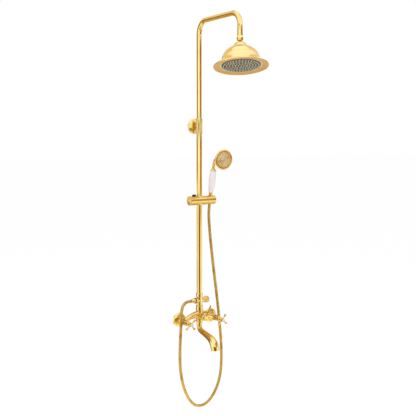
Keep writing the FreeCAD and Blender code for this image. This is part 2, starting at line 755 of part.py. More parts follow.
def handset_tie_tube():
    """Brass tube through the grip, with the tapered ferrule below it."""
    start = CONE_ABOVE + GAP
    end = GRIP_START + GRIP_LEN
    tube = rod(TUBE_R, end - CONE_ABOVE + NUT_SOCKET - 2 * GAP, along_hand(CONE_ABOVE - NUT_SOCKET + 2 * GAP),
               HAND_AXIS)
    ferrule = Part.makeCone(FERRULE_R, GRIP_BOTTOM_R - 0.3, GRIP_START - start, along_hand(start),
                            HAND_AXIS)
    body = joined([tube, ferrule])
    return body.cut(rod(TUBE_BORE, end, along_hand(0), HAND_AXIS))


def handset_ceramic_grip():
    """Glazed barrel grip."""
    band = 6.0
    length = GRIP_LEN
    bore = TUBE_R + FIT
    middle = length * 0.56
    return lathe([(bore, 0), (GRIP_BOTTOM_R, 0), (GRIP_BOTTOM_R + 0.8, band * 0.5),
                  (GRIP_BOTTOM_R + 0.5, band),
                  ((GRIP_MID_R - 0.4, middle * 0.62), (GRIP_MID_R, middle)),
                  ((GRIP_MID_R - 0.35, length * 0.79), (GRIP_TOP_R + 0.3, length - band)),
                  (GRIP_TOP_R + 0.6, length - band * 0.5), (GRIP_TOP_R, length), (bore, length)],
                 along_hand(GRIP_START), HAND_AXIS)


GRIP_END = GRIP_START + GRIP_LEN


def handset_collar():
    """Flared collar between the grip and the neck."""
    neck_r = NECK_OD / 2
    bore = neck_r - NECK_WALL
    return lathe([(bore, 0), (GRIP_TOP_R - 1.0, 0), (GRIP_TOP_R - 0.6, 1.6), (GRIP_TOP_R - 1.4, 3.2),
                  ((neck_r + 1.6, COLLAR_LEN * 0.55), (neck_r + 0.5, COLLAR_LEN)), (bore, COLLAR_LEN)],
                 along_hand(GRIP_END), HAND_AXIS)


def face_direction():
    """Return the way the handset's face looks."""
    dip = math.radians(FACE_DIP)
    return V(0, -math.cos(dip), -math.sin(dip))


NECK_START = GRIP_END + COLLAR_LEN
NECK_REACH = NECK_BEND * math.tan(HAND_AXIS.getAngle(face_direction()) / 2)
NECK_CORNER = along_hand(NECK_START + NECK_STRAIGHT + NECK_REACH)
BELL_START = NECK_CORNER + face_direction() * (NECK_REACH + NECK_LEVEL)


def handset_neck():
    """Curved tube from the collar to the bell."""
    path = rounded_path([along_hand(NECK_START), NECK_CORNER, BELL_START], [NECK_BEND])
    return swept(path, NECK_OD / 2, NECK_OD / 2 - NECK_WALL)


HAND_FACE_R = FACE_D / 2 - FACE_RIM
HAND_PLATE_T = 2.5
HAND_PLATE_DIP = 1.4


def handset_head_shell():
    """Bell of the handset with its rounded rim."""
    r = FACE_D / 2
    neck_r = NECK_OD / 2
    bore = neck_r - NECK_WALL
    depth = HAND_BELL
    seat = depth - HAND_PLATE_DIP - HAND_PLATE_T
    return lathe([(bore, 0), (neck_r + 0.6, 0), ((neck_r + 3.4, depth * 0.2), (r * 0.56, depth * 0.42)),
                  ((r * 0.86, depth * 0.62), (r, depth - 3.4)),
                  ((r - 0.9, depth - 0.9), (r - 3.0, depth)), (HAND_FACE_R + FIT, depth - 0.8),
                  (HAND_FACE_R + FIT, seat), (HAND_FACE_R - 2.0, seat),
                  ((r * 0.72, depth * 0.66), (r * 0.45, depth * 0.42 + 1.8)), (bore, depth * 0.3)],
                 BELL_START, face_direction())


def hand_face_places():
    """Return the nozzle places on the handset's face."""
    return nozzle_places(HAND_NOZZLE_RINGS, HAND_NOZZLE_PITCH)


def handset_face_plate():
    """Round plate with its rings of nozzle holes."""
    seat = HAND_BELL - HAND_PLATE_DIP - HAND_PLATE_T
    plate = rod(HAND_FACE_R, HAND_PLATE_T, V(0, 0, seat))
    holes = [rod(HAND_NOZZLE_R, HAND_PLATE_T, place + V(0, 0, seat)) for place in hand_face_places()]
    return turned(plate.cut(Part.Compound(holes)), face_direction(), BELL_START)


def handset_nozzles():
    """Small rubber nozzles of the handset."""
    length = HAND_PLATE_T + HAND_PLATE_DIP
    tip = lathe([(0, 0), (HAND_NOZZLE_R, 0), (HAND_NOZZLE_R, HAND_PLATE_T),
                 (HAND_NOZZLE_R * 0.7, length), (0, length)])
    seat = HAND_BELL - HAND_PLATE_DIP - HAND_PLATE_T
    tips = [turned(tip, UP, place + V(0, 0, seat)) for place in hand_face_places()]
    return turned(group(tips), face_direction(), BELL_START)


# ---- hose ---------------------------------------------------------------------------------
def hose_route():
    """Return the hose's points in the part's frame."""
    points = [V(x, RISER_Y + y, z) for x, y, z in HOSE_POINTS]
    end = along_hand(-CONE_BELOW)
    return points + [end - HAND_AXIS * HOSE_END_RUN, end]


def shower_hose():
    """Metal hose from the diverter's outlet, down in a loop and up to the handset."""
    points = hose_route()
    radii = cord_radii(points)
    path = rounded_path(points, radii)
    hose = swept(path, HOSE_OD / 2)
    section = math.pi * (HOSE_OD / 2) ** 2
    print("hose arc radii", [round(radius, 1) for radius in radii])
    print("hose runs", [round((b - a).Length, 1) for a, b in zip(points, points[1:])])
    print("hose length", round(path.Length, 1), "volume ratio", round(hose.Volume / section / path.Length, 5))
    return hose


def hose_outlet_nut():
    """Tapered nut that holds the hose's lower end on the outlet."""
    start = OUTLET - V(OUTLET_LEN + OUTLET_SEAL_T, 0, 0)
    r = OUTLET_OD / 2
    return lathe([(TUBE_BORE, 0), (r + 0.4, 0), (r + 0.6, 2.0), (r, 4.0), (r - 0.4, 7.0),
                  (HOSE_OD / 2 + 1.4, HOSE_NUT_LEN - 3.0), (HOSE_OD / 2 + 1.1, HOSE_NUT_LEN),
                  (TUBE_BORE, HOSE_NUT_LEN)], start, V(-1, 0, 0))


def outlet_seal_ring():
    """Black rubber ring between the outlet and the hose's nut."""
    start = OUTLET - V(OUTLET_LEN, 0, 0)
    return pipe(OUTLET_SEAL_OD / 2, TUBE_BORE, OUTLET_SEAL_T, start, V(-1, 0, 0))


# ---- diverter -----------------------------------------------------------------------------
DIV_LOW_Z = DIV_NUT_LOW_Z + 4.0
DIV_TOP_Z = DIV_NUT_TOP_Z - DIV_NUT_TOP_LEN + 2.0
CARTRIDGE_R = 7.5


def diverter_body():
    """Body on the riser's foot with the hose outlet on the left and the valve on the right."""
    low = V(0, RISER_Y, DIV_LOW_Z)
    r = DIV_BODY_OD / 2
    body = joined([rod(r, DIV_TOP_Z - DIV_LOW_Z, low),
                   rod(OUTLET_OD / 2, OUTLET_LEN, OUTLET, V(-1, 0, 0)),
                   rod(CARTRIDGE_R + 2.5, DIV_KNOB_X - GAP, OUTLET, V(1, 0, 0))])
    body = body.cut(rod(WATERWAY / 2, DIV_TOP_Z - DIV_LOW_Z, low))
    body = body.cut(rod(TUBE_BORE, OUTLET_LEN, OUTLET, V(-1, 0, 0)))
    return body.cut(rod(CARTRIDGE_R + FIT, DIV_KNOB_X, OUTLET, V(1, 0, 0)))


def ring_nut(outer, inner, length, low):
    """Return a round nut with rolled edges."""
    edge = 1.4
    return lathe([(inner, 0), (outer - edge, 0), (outer, edge), (outer, length - edge),
                  (outer - edge, length), (inner, length)], low)


def diverter_top_nut():
    """Nut that clamps the riser in the diverter."""
    low = V(0, RISER_Y, DIV_NUT_TOP_Z - DIV_NUT_TOP_LEN)
    nut = ring_nut(DIV_NUT_TOP_OD / 2, RISER_OD / 2 + FIT, DIV_NUT_TOP_LEN, low)
    return nut.cut(rod(DIV_BODY_OD / 2 + FIT, DIV_TOP_Z - low.z, low))


def diverter_bottom_nut():
    """Nut that joins the diverter to the mixer's post."""
    low = V(0, RISER_Y, DIV_NUT_LOW_Z)
    nut = ring_nut(DIV_NUT_LOW_OD / 2, WATERWAY / 2, DIV_NUT_LOW_LEN, low)
    return nut.cut(rod(DIV_BODY_OD / 2 + FIT, DIV_NUT_LOW_LEN, V(0, RISER_Y, DIV_LOW_Z)))


def diverter_cartridge():
    """Ceramic-disc cartridge in the diverter; it turns with the knob."""
    start = OUTLET + V(WATERWAY / 2 + 1.5, 0, 0)
    length = DIV_KNOB_X - WATERWAY / 2 - 1.5
    return joined([rod(CARTRIDGE_R, length - 2.0, start, V(1, 0, 0)),
                   rod(SPINDLE_R, length + DIV_KNOB_LEN / 2, start, V(1, 0, 0))])


def diverter_knob():
    """Fluted knob."""
    start = OUTLET + V(DIV_KNOB_X, 0, 0)
    r = DIV_KNOB_OD / 2
    length = DIV_KNOB_LEN
    knob = lathe([(0, 0), (r - 4.0, 0), (r - 3.4, 4.0), (r, 8.5), (r, length - 3.0),
                  ((r - 1.0, length - 1.0), (r - 3.2, length)), (0, length + 0.6)])
    flute = 2.2
    cuts = [rod(flute, length, place + V(0, 0, 4.0)) for place in ring_places(DIV_FLUTES, r + flute * 0.45)]
    knob = knob.cut(Part.Compound(cuts))
    knob = knob.cut(rod(SPINDLE_R + FIT / 2, DIV_KNOB_LEN / 2, V(0, 0, 0)))
    return turned(knob, V(1, 0, 0), start)


# ---- mixer --------------------------------------------------------------------------------
ARCH_BORE = 4.5
ARCH_BEND_R = (INLET_X ** 2 + ARCH_RISE ** 2) / (2 * ARCH_RISE)
ARCH_SPREAD = math.asin(INLET_X / ARCH_BEND_R)
ARCH_SECTIONS = 9


def arch_ring(share):
    """Return the arch's outline at a share of its half length, from -1 at the left valve to 1."""
    turn = share * ARCH_SPREAD
    centre = V(ARCH_BEND_R * math.sin(turn), RISER_Y, ARCH_RISE - ARCH_BEND_R * (1 - math.cos(turn)))
    belly = math.cos(share * math.pi / 2) ** 2
    radius = ARCH_END_R + (ARCH_MIDDLE_R - ARCH_END_R) * belly
    return Part.Wire(Part.makeCircle(radius, centre, V(math.cos(turn), 0, -math.sin(turn))))


def mixer_arch():
    """Return the arch, fullest in its middle."""
    shares = [2 * index / (ARCH_SECTIONS - 1) - 1 for index in range(ARCH_SECTIONS)]
    return Part.makeLoft([arch_ring(share) for share in shares], True)


def mixer_body():
    """Arched bridge between two valve barrels, with the post in its middle."""
    axis = V(0, -1, 0)
    post = rod(POST_OD / 2, DIV_NUT_LOW_Z - POST_LOW_Z, V(0, RISER_Y, POST_LOW_Z))
    spigot = rod(SPOUT_COLLAR_R, SPIGOT_LEN, V(0, RISER_Y, POST_LOW_Z - SPIGOT_LEN))
    pieces = [post, spigot]
    for side in (-1, 1):
        start = V(side * INLET_X, VALVE_BACK_Y, 0)
        pieces.append(rod(VALVE_OD / 2, VALVE_BACK + VALVE_FRONT, start, axis))
    pieces.append(mixer_arch())
    housing = rod(TUB_OD / 2, TUB_FRONT, V(0, RISER_Y, TUB_Z), axis)
    pieces.append(housing)
    body = joined(pieces)
    bore_low = POST_LOW_Z - SPIGOT_LEN
    body = body.cut(rod(WATERWAY / 2, DIV_NUT_LOW_Z - bore_low, V(0, RISER_Y, bore_low)))
    arc = Part.Arc(V(-INLET_X, RISER_Y, 0), V(0, RISER_Y, ARCH_RISE), V(INLET_X, RISER_Y, 0))
    body = body.cut(swept(Part.Wire(arc.toShape()), ARCH_BORE))
    body = body.cut(rod(TUB_SPOOL_R + FIT, TUB_FRONT, V(0, RISER_Y, TUB_Z), axis))
    for side in (-1, 1):
        start = V(side * INLET_X, VALVE_BACK_Y, 0)
        body = body.cut(rod(UNION_BORE, VALVE_BACK + VALVE_FRONT, start, axis))
    return body


TUB_SPOOL_R = 8.0


def union_nuts():
    """Two nuts that join the mixer to the wall unions."""
    nuts = []
    for side in (-1, 1):
        start = V(side * INLET_X, VALVE_BACK_Y + UNION_NUT_LEN - 3.0, 0)
        r = UNION_NUT_OD / 2
        nut = lathe([(UNION_BARREL_R + FIT, 0), (r - 2.0, 0), (r, 2.0), (r, UNION_NUT_LEN - 3.0),
                     (r - 1.6, UNION_NUT_LEN), (UNION_BARREL_R + FIT, UNION_NUT_LEN)], start, V(0, -1, 0))
        nuts.append(nut.cut(rod(VALVE_OD / 2 + FIT, VALVE_BACK, V(start.x, VALVE_BACK_Y, 0), V(0, -1, 0))))
    return group(nuts)


def union_shift(side):
    """Return how far the eccentric wall thread lies off the mixer's inlet axis."""
    turn = math.radians(INLET_TURN)
    return V(side * INLET_OFFSET * math.cos(turn), 0, INLET_OFFSET * math.sin(turn))


UNION_STEP_Y = -11.0
UNION_TAIL_Y = -5.0


def union_rods(side, front_r, tail_r):
    """Return a union's front rod, the web that steps aside and the tail rod.

    Args:
        side: -1 for the left one, 1 for the right one.
        front_r: radius in the mixer's nut.
        tail_r: radius in the wall.
    """
    back = V(0, 1, 0)
    start = V(side * INLET_X, VALVE_BACK_Y, 0)
    step = V(side * INLET_X, UNION_STEP_Y, 0)
    tail = V(side * INLET_X, UNION_TAIL_Y, 0) + union_shift(side)
    web = Part.makeLoft([Part.Wire(Part.makeCircle(front_r, step, back)),
                         Part.Wire(Part.makeCircle(tail_r, tail, back))], True)
    return [rod(front_r, UNION_STEP_Y - VALVE_BACK_Y, start, back), web,
            rod(tail_r, THREAD_LEN - UNION_TAIL_Y, tail, back)]


def wall_unions():
    """Two eccentric unions with a thread in the wall."""
    unions = []
    for side in (-1, 1):
        union = joined(union_rods(side, UNION_BARREL_R, THREAD_R))
        for bore in union_rods(side, UNION_BORE, UNION_BORE):
            union = union.cut(bore)
        unions.append(union)
    return group(unions)


def escutcheons():
    """Two domed wall covers round the unions."""
    r = ESC_OD / 2
    hole = UNION_BARREL_R + FIT
    depth = ESC_DEPTH
    covers = []
    for side in (-1, 1):
        covers.append(lathe(
            [(r, 0), (r, 1.6), ((r * 0.83, depth * 0.68), (hole + 3.5, depth)), (hole, depth),
             (hole, depth - SHEET), (hole + 3.5, depth - SHEET),
             ((r * 0.81, depth * 0.68 - SHEET), (r - SHEET, 0.6)), (r - SHEET, 0)],
            V(side * INLET_X, 0, 0), V(0, -1, 0)))
    return group(covers)


BONNET_HOLE = SPINDLE_R + FIT


def valve_bonnets():
    """Two bonnets screwed into the valve barrels."""
    bonnets = []
    r = BONNET_OD / 2
    for side in (-1, 1):
        start = V(side * INLET_X, VALVE_FRONT_Y, 0)
        bonnets.append(lathe([(BONNET_HOLE, -6.0), (UNION_BORE - FIT, -6.0), (UNION_BORE - FIT, 0),
                              (r + 1.0, 0), (r + 1.0, 3.0), (r, 4.0), (r, BONNET_LEN - 3.0),
                              (r - 2.5, BONNET_LEN), (BONNET_HOLE, BONNET_LEN)], start, V(0, -1, 0)))
    return group(bonnets)


def valve_spindle(side):
    """Spindle with its closing disc; it turns with the cross handle."""
    disc_r = UNION_BORE - FIT
    start = V(side * INLET_X, VALVE_FRONT_Y + 6.0 + GAP, 0)
    disc = rod(disc_r, 5.0, start + V(0, 5.0, 0), V(0, -1, 0))
    end = -CROSS_AXIS_Y + start.y + CROSS_HUB_FRONT - CERAMIC_H - 1.0
    return joined([disc, rod(SPINDLE_R, end, start, V(0, -1, 0))])


def cross_handle(side, turn):
    """Hub with four arms that end in small knobs."""
    hub_r = CROSS_HUB_R
    hub = lathe([(0, -CROSS_HUB_BACK), (hub_r - 1.0, -CROSS_HUB_BACK), (hub_r, -CROSS_HUB_BACK + 2.0),
                 ((hub_r - 1.2, -2.0), (hub_r, 0)), (hub_r - 0.6, 5.0), (hub_r - 1.4, CROSS_HUB_FRONT - 1.0),
                 (hub_r - 2.2, CROSS_HUB_FRONT), (0, CROSS_HUB_FRONT)])
    pieces = [hub]
    reach = CROSS_REACH - CROSS_TIP_R
    for k in range(4):
        angle = math.radians(turn + 90 * k)
        way = V(math.cos(angle), math.sin(angle), 0)
        pieces.append(lathe([(0, 4.0), (CROSS_ARM_R + 0.9, 4.0), (CROSS_ARM_R, hub_r + 4.0),
                             (CROSS_ARM_R, reach - 9.0), (CROSS_TIP_R - 0.5, reach - 1.0),
                             ((CROSS_TIP_R, reach + 1.4), (CROSS_TIP_R - 1.2, CROSS_REACH - 1.0)),
                             (CROSS_TIP_R - 3.0, CROSS_REACH), (0, CROSS_REACH)], V(0, 0, 0), way))
    handle = joined(pieces)
    handle = handle.cut(rod(SPINDLE_R + FIT / 2, CROSS_HUB_BACK + CROSS_HUB_FRONT - CERAMIC_H,
                            V(0, 0, -CROSS_HUB_BACK)))
    handle = handle.cut(rod(CERAMIC_R + FIT, CERAMIC_H, V(0, 0, CROSS_HUB_FRONT - CERAMIC_H + 1.0)))
    to_front = FreeCAD.Rotation(V(1, 0, 0), 90)
    handle.Placement = FreeCAD.Placement(V(side * INLET_X, CROSS_AXIS_Y, 0), to_front)
    return handle


def ceramic_button(side):
    """Glazed button in the cross handle's hub."""
    start = V(side * INLET_X, CROSS_AXIS_Y - CROSS_HUB_FRONT + CERAMIC_H - 1.0, 0)
    r = CERAMIC_R
    return lathe([(0, 0), (r, 0), (r, CERAMIC_H - 1.2),
                  ((r * 0.7, CERAMIC_H - 0.3), (r * 0.2, CERAMIC_H)), (0, CERAMIC_H)], start, V(0, -1, 0))


# ---- bath diverter ------------------------------------------------------------------------
TUB_FRONT_Y = RISER_Y - TUB_FRONT
TUB_CAP_T = 4.0


def tub_cap():
    """Ring nut that keeps the spool in its housing."""
    start = V(0, TUB_FRONT_Y, TUB_Z)
    r = TUB_OD / 2
    hole = SPINDLE_R + FIT
    return lathe([(hole, 0), (r, 0), (r - 1.5, TUB_CAP_T), (hole, TUB_CAP_T)], start, V(0, -1, 0))


def tub_spool():
    """Spool that sends the water up or to the spout; it turns with the lever."""
    start = V(0, TUB_FRONT_Y + GAP, TUB_Z)
    length = TUB_FRONT - POST_OD / 2
    body = rod(TUB_SPOOL_R, length, start + V(0, length, 0), V(0, -1, 0))
    end = TUB_CAP_T + 2 * GAP + LEVER_HUB_LEN - 3.0
    return joined([body, rod(SPINDLE_R, end, start, V(0, -1, 0))])


def tub_lever():
    """Hub with the stick lever."""
    start = V(0, TUB_FRONT_Y - TUB_CAP_T - GAP, TUB_Z)
    r = LEVER_HUB_OD / 2
    length = LEVER_HUB_LEN
    hub = lathe([(0, 0), (r, 0), (r, length - 3.0), ((r - 1.0, length - 1.0), (r - 3.2, length)),
                 (0, length + 0.8)], start, V(0, -1, 0))
    lean = math.radians(LEVER_LEAN)
    way = V(math.sin(lean), 0, math.cos(lean))
    centre = start - V(0, (length - 3.0) / 2 + 0.5, 0)
    stick = lathe([(0, r - 3.0), (LEVER_R, r - 3.0), (LEVER_R - 0.4, r + 4.0), (LEVER_R, LEVER_REACH - 3.0),
                   ((LEVER_R * 0.75, LEVER_REACH - 0.7), (LEVER_R * 0.2, LEVER_REACH)),
                   (0, LEVER_REACH)], centre, way)
    hub = joined([hub, stick])
    return hub.cut(rod(SPINDLE_R + FIT / 2, length - 3.0, start, V(0, -1, 0)))


# ---- bath spout ---------------------------------------------------------------------------
SPOUT_NECK_R = 9.0
SPOUT_COLLAR_R = 10.2
SPOUT_COLLAR_LEN = 4.0
SPOUT_LIP = 4.0            # thickness of the nut's lip under the collar
SPIGOT_LEN = 9.0
SPOUT_NUT_Z = POST_LOW_Z - SPOUT_NUT_LEN
SPOUT_TOP_Z = SPOUT_NUT_Z - GAP
# Shares of the spout's reach, its drop and its widening at each section, and the angle
# that the water's way makes below level there.
SPOUT_SECTIONS = [
    (0.000, -0.000, 0.000, 90.0),
    (0.006, 0.081, 0.029, 78.0),
    (0.053, 0.182, 0.086, 46.0),
    (0.138, 0.250, 0.129, 20.0),
    (0.291, 0.297, 0.171, 11.0),
    (0.518, 0.365, 0.314, 12.0),
    (0.729, 0.453, 0.600, 21.0),
    (0.874, 0.588, 0.857, 42.0),
    (0.960, 0.784, 0.971, 64.0),
    (1.000, 1.000, 1.000, 80.0),
]


def spout_ring(entry, wall):
    """Return one round section of the spout."""
    forward, drop, widening, dip = entry
    radius = SPOUT_ROOT_R + widening * (SPOUT_MOUTH_R - SPOUT_ROOT_R)
    ring = Part.Wire(Part.makeCircle(radius - wall))
    centre = V(0, RISER_Y - forward * SPOUT_REACH, SPOUT_TOP_Z - drop * SPOUT_DROP)
    ring.Placement = FreeCAD.Placement(centre, FreeCAD.Rotation(V(1, 0, 0), 90 + dip))
    return ring


def bath_spout():
    """Swept spout that widens to its mouth."""
    outer = Part.makeLoft([spout_ring(entry, 0.0) for entry in SPOUT_SECTIONS], True)
    inner = Part.makeLoft([spout_ring(entry, SPOUT_WALL) for entry in SPOUT_SECTIONS], True)
    low = V(0, RISER_Y, SPOUT_TOP_Z)
    collar_low = low + V(0, 0, SPOUT_LIP + 2 * GAP)
    neck = rod(SPOUT_NECK_R, SPOUT_LIP + 2 * GAP + SPOUT_COLLAR_LEN, low)
    neck = neck.fuse(rod(SPOUT_COLLAR_R, SPOUT_COLLAR_LEN, collar_low))
    neck = neck.cut(rod(SPOUT_NECK_R - SPOUT_WALL, SPOUT_NUT_LEN, low))
    return joined([outer.cut(inner), neck])


def spout_nut():
    """Nut that holds the spout's neck to the post and lets it turn."""
    low = V(0, RISER_Y, SPOUT_NUT_Z)
    bore = SPOUT_COLLAR_R + FIT
    outer = SPOUT_NUT_OD / 2
    return lathe([(SPOUT_NECK_R + FIT, 0), (outer - 0.8, 0), (outer, 0.8), (outer, SPOUT_NUT_LEN - 4.0),
                  (outer + 1.2, SPOUT_NUT_LEN - 2.0), (outer + 1.2, SPOUT_NUT_LEN),
                  (bore, SPOUT_NUT_LEN), (bore, SPOUT_LIP), (SPOUT_NECK_R + FIT, SPOUT_LIP)], low)


def spout_aerator():
    """Mesh insert in the spout's mouth."""
    angle = math.radians(SPOUT_SECTIONS[-1][3])
    way = V(0, -math.cos(angle), -math.sin(angle))
    mouth = V(0, RISER_Y - SPOUT_REACH, SPOUT_TOP_Z - SPOUT_DROP)
    centre = mouth - way * (AERATOR_LEN + AERATOR_INSET)
    r = SPOUT_MOUTH_R - SPOUT_WALL - 1.4
    ring = pipe(r, r - 1.5, AERATOR_LEN, centre, way)
    web = rod(r - 1.0, 1.0, centre + way * 3.0, way)
    holes = [rod(1.1, 4.0, place + V(0, 0, 2.0)) for place in nozzle_places(3, 3.6)]
    plate = joined([ring, web])
    return plate.cut(turned(Part.Compound(holes), way, centre))


# ---- build --------------------------------------------------------------------------------
def write(name, shape):
    """Export one node."""
    shape.exportStep(os.path.join("parts", name + ".step"))


NODES = {
    "bracket_wall_plate": bracket_wall_plate,
    "bracket_flange": bracket_flange,
    "bracket_arm": bracket_arm,
    "bracket_sleeve": bracket_sleeve,
    "sleeve_grub_screws": sleeve_grub_screws,
    "riser_pipe": riser_pipe,
    "telescope_guide": telescope_guide,
    "telescope_o_rings": telescope_o_rings,
    "gooseneck_pipe": gooseneck_pipe,
    "arm_end_nipple": arm_end_nipple,
    "swivel_nut": swivel_nut,
    "ball_seat_cup": ball_seat_cup,
    "ball_connector": ball_connector,
    "head_shell": head_shell,
    "head_lock_nut": head_lock_nut,
    "head_under_ring": head_under_ring,
    "head_retaining_ring": head_retaining_ring,
    "head_nozzle_plate": head_nozzle_plate,
    "head_nozzles": head_nozzles,
    "slider_bush": slider_bush,
    "slider_body": slider_body,
    "slider_end_cap": slider_end_cap,
    "brake_shoe": brake_shoe,
    "brake_spring": brake_spring,
    "release_button": release_button,
    "handset_holder": handset_holder,
    "holder_pivot_bolt": holder_pivot_bolt,
    "hose_cone_nut": hose_cone_nut,
    "handset_tie_tube": handset_tie_tube,
    "handset_ceramic_grip": handset_ceramic_grip,
    "handset_collar": handset_collar,
    "handset_neck": handset_neck,
    "handset_head_shell": handset_head_shell,
    "handset_face_plate": handset_face_plate,
    "handset_nozzles": handset_nozzles,
    "shower_hose": shower_hose,
    "hose_outlet_nut": hose_outlet_nut,
    "outlet_seal_ring": outlet_seal_ring,
    "diverter_body": diverter_body,
    "diverter_top_nut": diverter_top_nut,
    "diverter_bottom_nut": diverter_bottom_nut,
    "diverter_cartridge": diverter_cartridge,
    "diverter_knob": diverter_knob,
    "mixer_body": mixer_body,
    "union_nuts": union_nuts,
    "wall_unions": wall_unions,
    "escutcheons": escutcheons,
    "valve_bonnets": valve_bonnets,
    "valve_spindle_left": lambda: valve_spindle(-1),
    "valve_spindle_right": lambda: valve_spindle(1),
    "cross_handle_left": lambda: cross_handle(-1, CROSS_TURN_LEFT),
    "cross_handle_right": lambda: cross_handle(1, CROSS_TURN_RIGHT),
    "ceramic_button_left": lambda: ceramic_button(-1),
    "ceramic_button_right": lambda: ceramic_button(1),
    "tub_cap": tub_cap,
    "tub_spool": tub_spool,
    "tub_lever": tub_lever,
    "bath_spout": bath_spout,
    "spout_nut": spout_nut,
    "spout_aerator": spout_aerator,
}

os.makedirs("parts", exist_ok=True)
for node, make in NODES.items():
    write(node, make())
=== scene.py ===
"""Looks of an exposed rainfall shower column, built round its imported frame.

Places and sizes are millimetres in the frame's own axes (+X right, +Y into the wall, +Z up),
and turn to metres where a mesh is made.
"""

import json
import logging
import math
from dataclasses import dataclass, field
from enum import Enum
from typing import Any, Callable, Iterable, Sequence

import bmesh
import bpy
from bpy.types import ID, Material, Mesh, Node, NodeSocket, NodeTree, Object, World
from mathutils import Matrix, Quaternion, Vector


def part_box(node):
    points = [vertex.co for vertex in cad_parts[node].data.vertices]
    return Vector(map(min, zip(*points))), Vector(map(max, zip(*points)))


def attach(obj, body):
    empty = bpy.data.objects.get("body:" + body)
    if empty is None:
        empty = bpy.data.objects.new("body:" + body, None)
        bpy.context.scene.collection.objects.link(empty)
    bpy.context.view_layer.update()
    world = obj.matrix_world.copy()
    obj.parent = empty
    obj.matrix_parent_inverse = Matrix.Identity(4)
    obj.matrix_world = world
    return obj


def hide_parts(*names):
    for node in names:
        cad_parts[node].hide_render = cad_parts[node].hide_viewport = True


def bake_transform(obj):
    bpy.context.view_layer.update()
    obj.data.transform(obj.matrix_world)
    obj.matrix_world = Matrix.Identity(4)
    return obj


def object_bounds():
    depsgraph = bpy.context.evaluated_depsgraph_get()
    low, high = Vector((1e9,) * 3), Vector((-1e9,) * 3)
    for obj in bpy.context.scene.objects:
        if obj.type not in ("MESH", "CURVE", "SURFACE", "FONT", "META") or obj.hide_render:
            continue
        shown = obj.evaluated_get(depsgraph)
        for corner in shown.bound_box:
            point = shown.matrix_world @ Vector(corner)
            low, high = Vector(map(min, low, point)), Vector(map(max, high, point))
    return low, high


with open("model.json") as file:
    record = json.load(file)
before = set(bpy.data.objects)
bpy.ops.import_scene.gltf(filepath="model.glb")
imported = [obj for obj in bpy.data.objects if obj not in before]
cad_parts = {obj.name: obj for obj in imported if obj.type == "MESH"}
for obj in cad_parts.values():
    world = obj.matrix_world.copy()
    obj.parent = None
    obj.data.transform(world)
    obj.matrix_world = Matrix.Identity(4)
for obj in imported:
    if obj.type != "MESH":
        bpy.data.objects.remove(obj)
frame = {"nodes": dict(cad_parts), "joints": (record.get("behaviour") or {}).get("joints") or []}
CAD_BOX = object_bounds()

log = logging.getLogger("shower_column")

MM = 0.001
UP = Vector((0.0, 0.0, 1.0))
LEFT = Vector((-1.0, 0.0, 0.0))
RIGHT = Vector((1.0, 0.0, 0.0))
FRONT = Vector((0.0, -1.0, 0.0))
BACK = Vector((0.0, 1.0, 0.0))
ORIGIN = Vector((0.0, 0.0, 0.0))
# Edges that bend more than this stay sharp.
SHARP_EDGE = math.radians(34.0)
# A long run of a profile gets one more point this far from each end.
SUPPORT = 0.4
# A radius below this is on the axis.
ON_AXIS = 1e-5
# Gap between pieces that fit in each other.
FIT = 0.05
# How far a cutting tool runs past what it cuts.
PAST = 5.0
# Outer radii of the two pipes, which slide in each other.
RISER_RADIUS = 11.0
ARM_RADIUS = 10.0

Profile = list[tuple[float, ...]]
# Changes a radius by angle, radius and height.
Shaping = Callable[[float, float, float], float]


# ---- materials ----
def linear(hex_colour: str) -> tuple[float, float, float, float]:
    """Turn an sRGB hex value into a linear colour.

    Args:
        hex_colour: six hex digits.

    Returns:
        Red, green, blue and alpha for a shader's socket.
    """
    channels = []
    for start in (0, 2, 4):
        value = int(hex_colour[start:start + 2], 16) / 255
        channels.append(value / 12.92 if value <= 0.04045 else ((value + 0.055) / 1.055) ** 2.4)
    return (*channels, 1.0)


def per_mm(size: float) -> float:
    """Return the texture scale that repeats every given number of millimetres."""
    return 1.0 / (size * MM)


def eased(share: float) -> float:
    """Return a share, clamped to 0..1, with a soft start and end."""
    share = min(max(share, 0.0), 1.0)
    return share * share * (3.0 - 2.0 * share)


def add_node(tree: NodeTree, kind: str, values: dict[str | int, Any] | None = None,
             links: dict[str | int, NodeSocket] | None = None, **settings: Any) -> Node:
    """Add a shader node with its settings, socket values and links.

    Args:
        tree: the material's or the world's node tree.
        kind: the node's type name, without its ShaderNode prefix.
        values: socket name or number to constant.
        links: socket name or number to the output that feeds it.
        settings: the node's own properties.

    Returns:
        The new node.
    """
    node = tree.nodes.new("ShaderNode" + kind)
    for name, value in settings.items():
        setattr(node, name, value)
    for socket, value in (values or {}).items():
        node.inputs[socket].default_value = value
    for socket, output in (links or {}).items():
        tree.links.new(output, node.inputs[socket])
    return node


def emptied(owner: Material | World) -> NodeTree:
    """Return the emptied node tree of a material or a world."""
    owner.use_nodes = True
    owner.node_tree.nodes.clear()
    return owner.node_tree


class Surface(Enum):
    """How a surface was made, and with it the marks that it carries."""

    BUFFED = "buffed"
    SATIN = "satin"
    GLAZED = "glazed"
    MOULDED = "moulded"
    TURNED = "turned"
    WOUND = "wound"


class Slot(Enum):
    """The record's material slots."""

    GOLD = "gold"
    GOLD_SATIN = "gold_satin"
    HOSE_GOLD = "hose_gold"
    BRASS = "brass"
    UNION_BRASS = "union_brass"
    PALE_TRIM = "pale_trim"
    STEEL = "steel"
    RUBBER_GREY = "rubber_grey"
    RUBBER_BLACK = "rubber_black"
    NYLON = "nylon"
    BLACK_PLASTIC = "black_plastic"
    DARK_TRIM = "dark_trim"
    CERAMIC = "ceramic"


# How much finer the turning marks are on each axis: fourteen times along the lathe's axis.
TURNING_STRETCH = (1.0, 1.0, 14.0)
# Hose attribute with the strip's seam depth, which the wound finish paints as shade.
SEAM_SHADE_ATTRIBUTE = "seam"
# Values of the patches' noise between which the clean colour turns to the deep one.
PATCH_RANGE = {"From Min": 0.42, "From Max": 0.72}


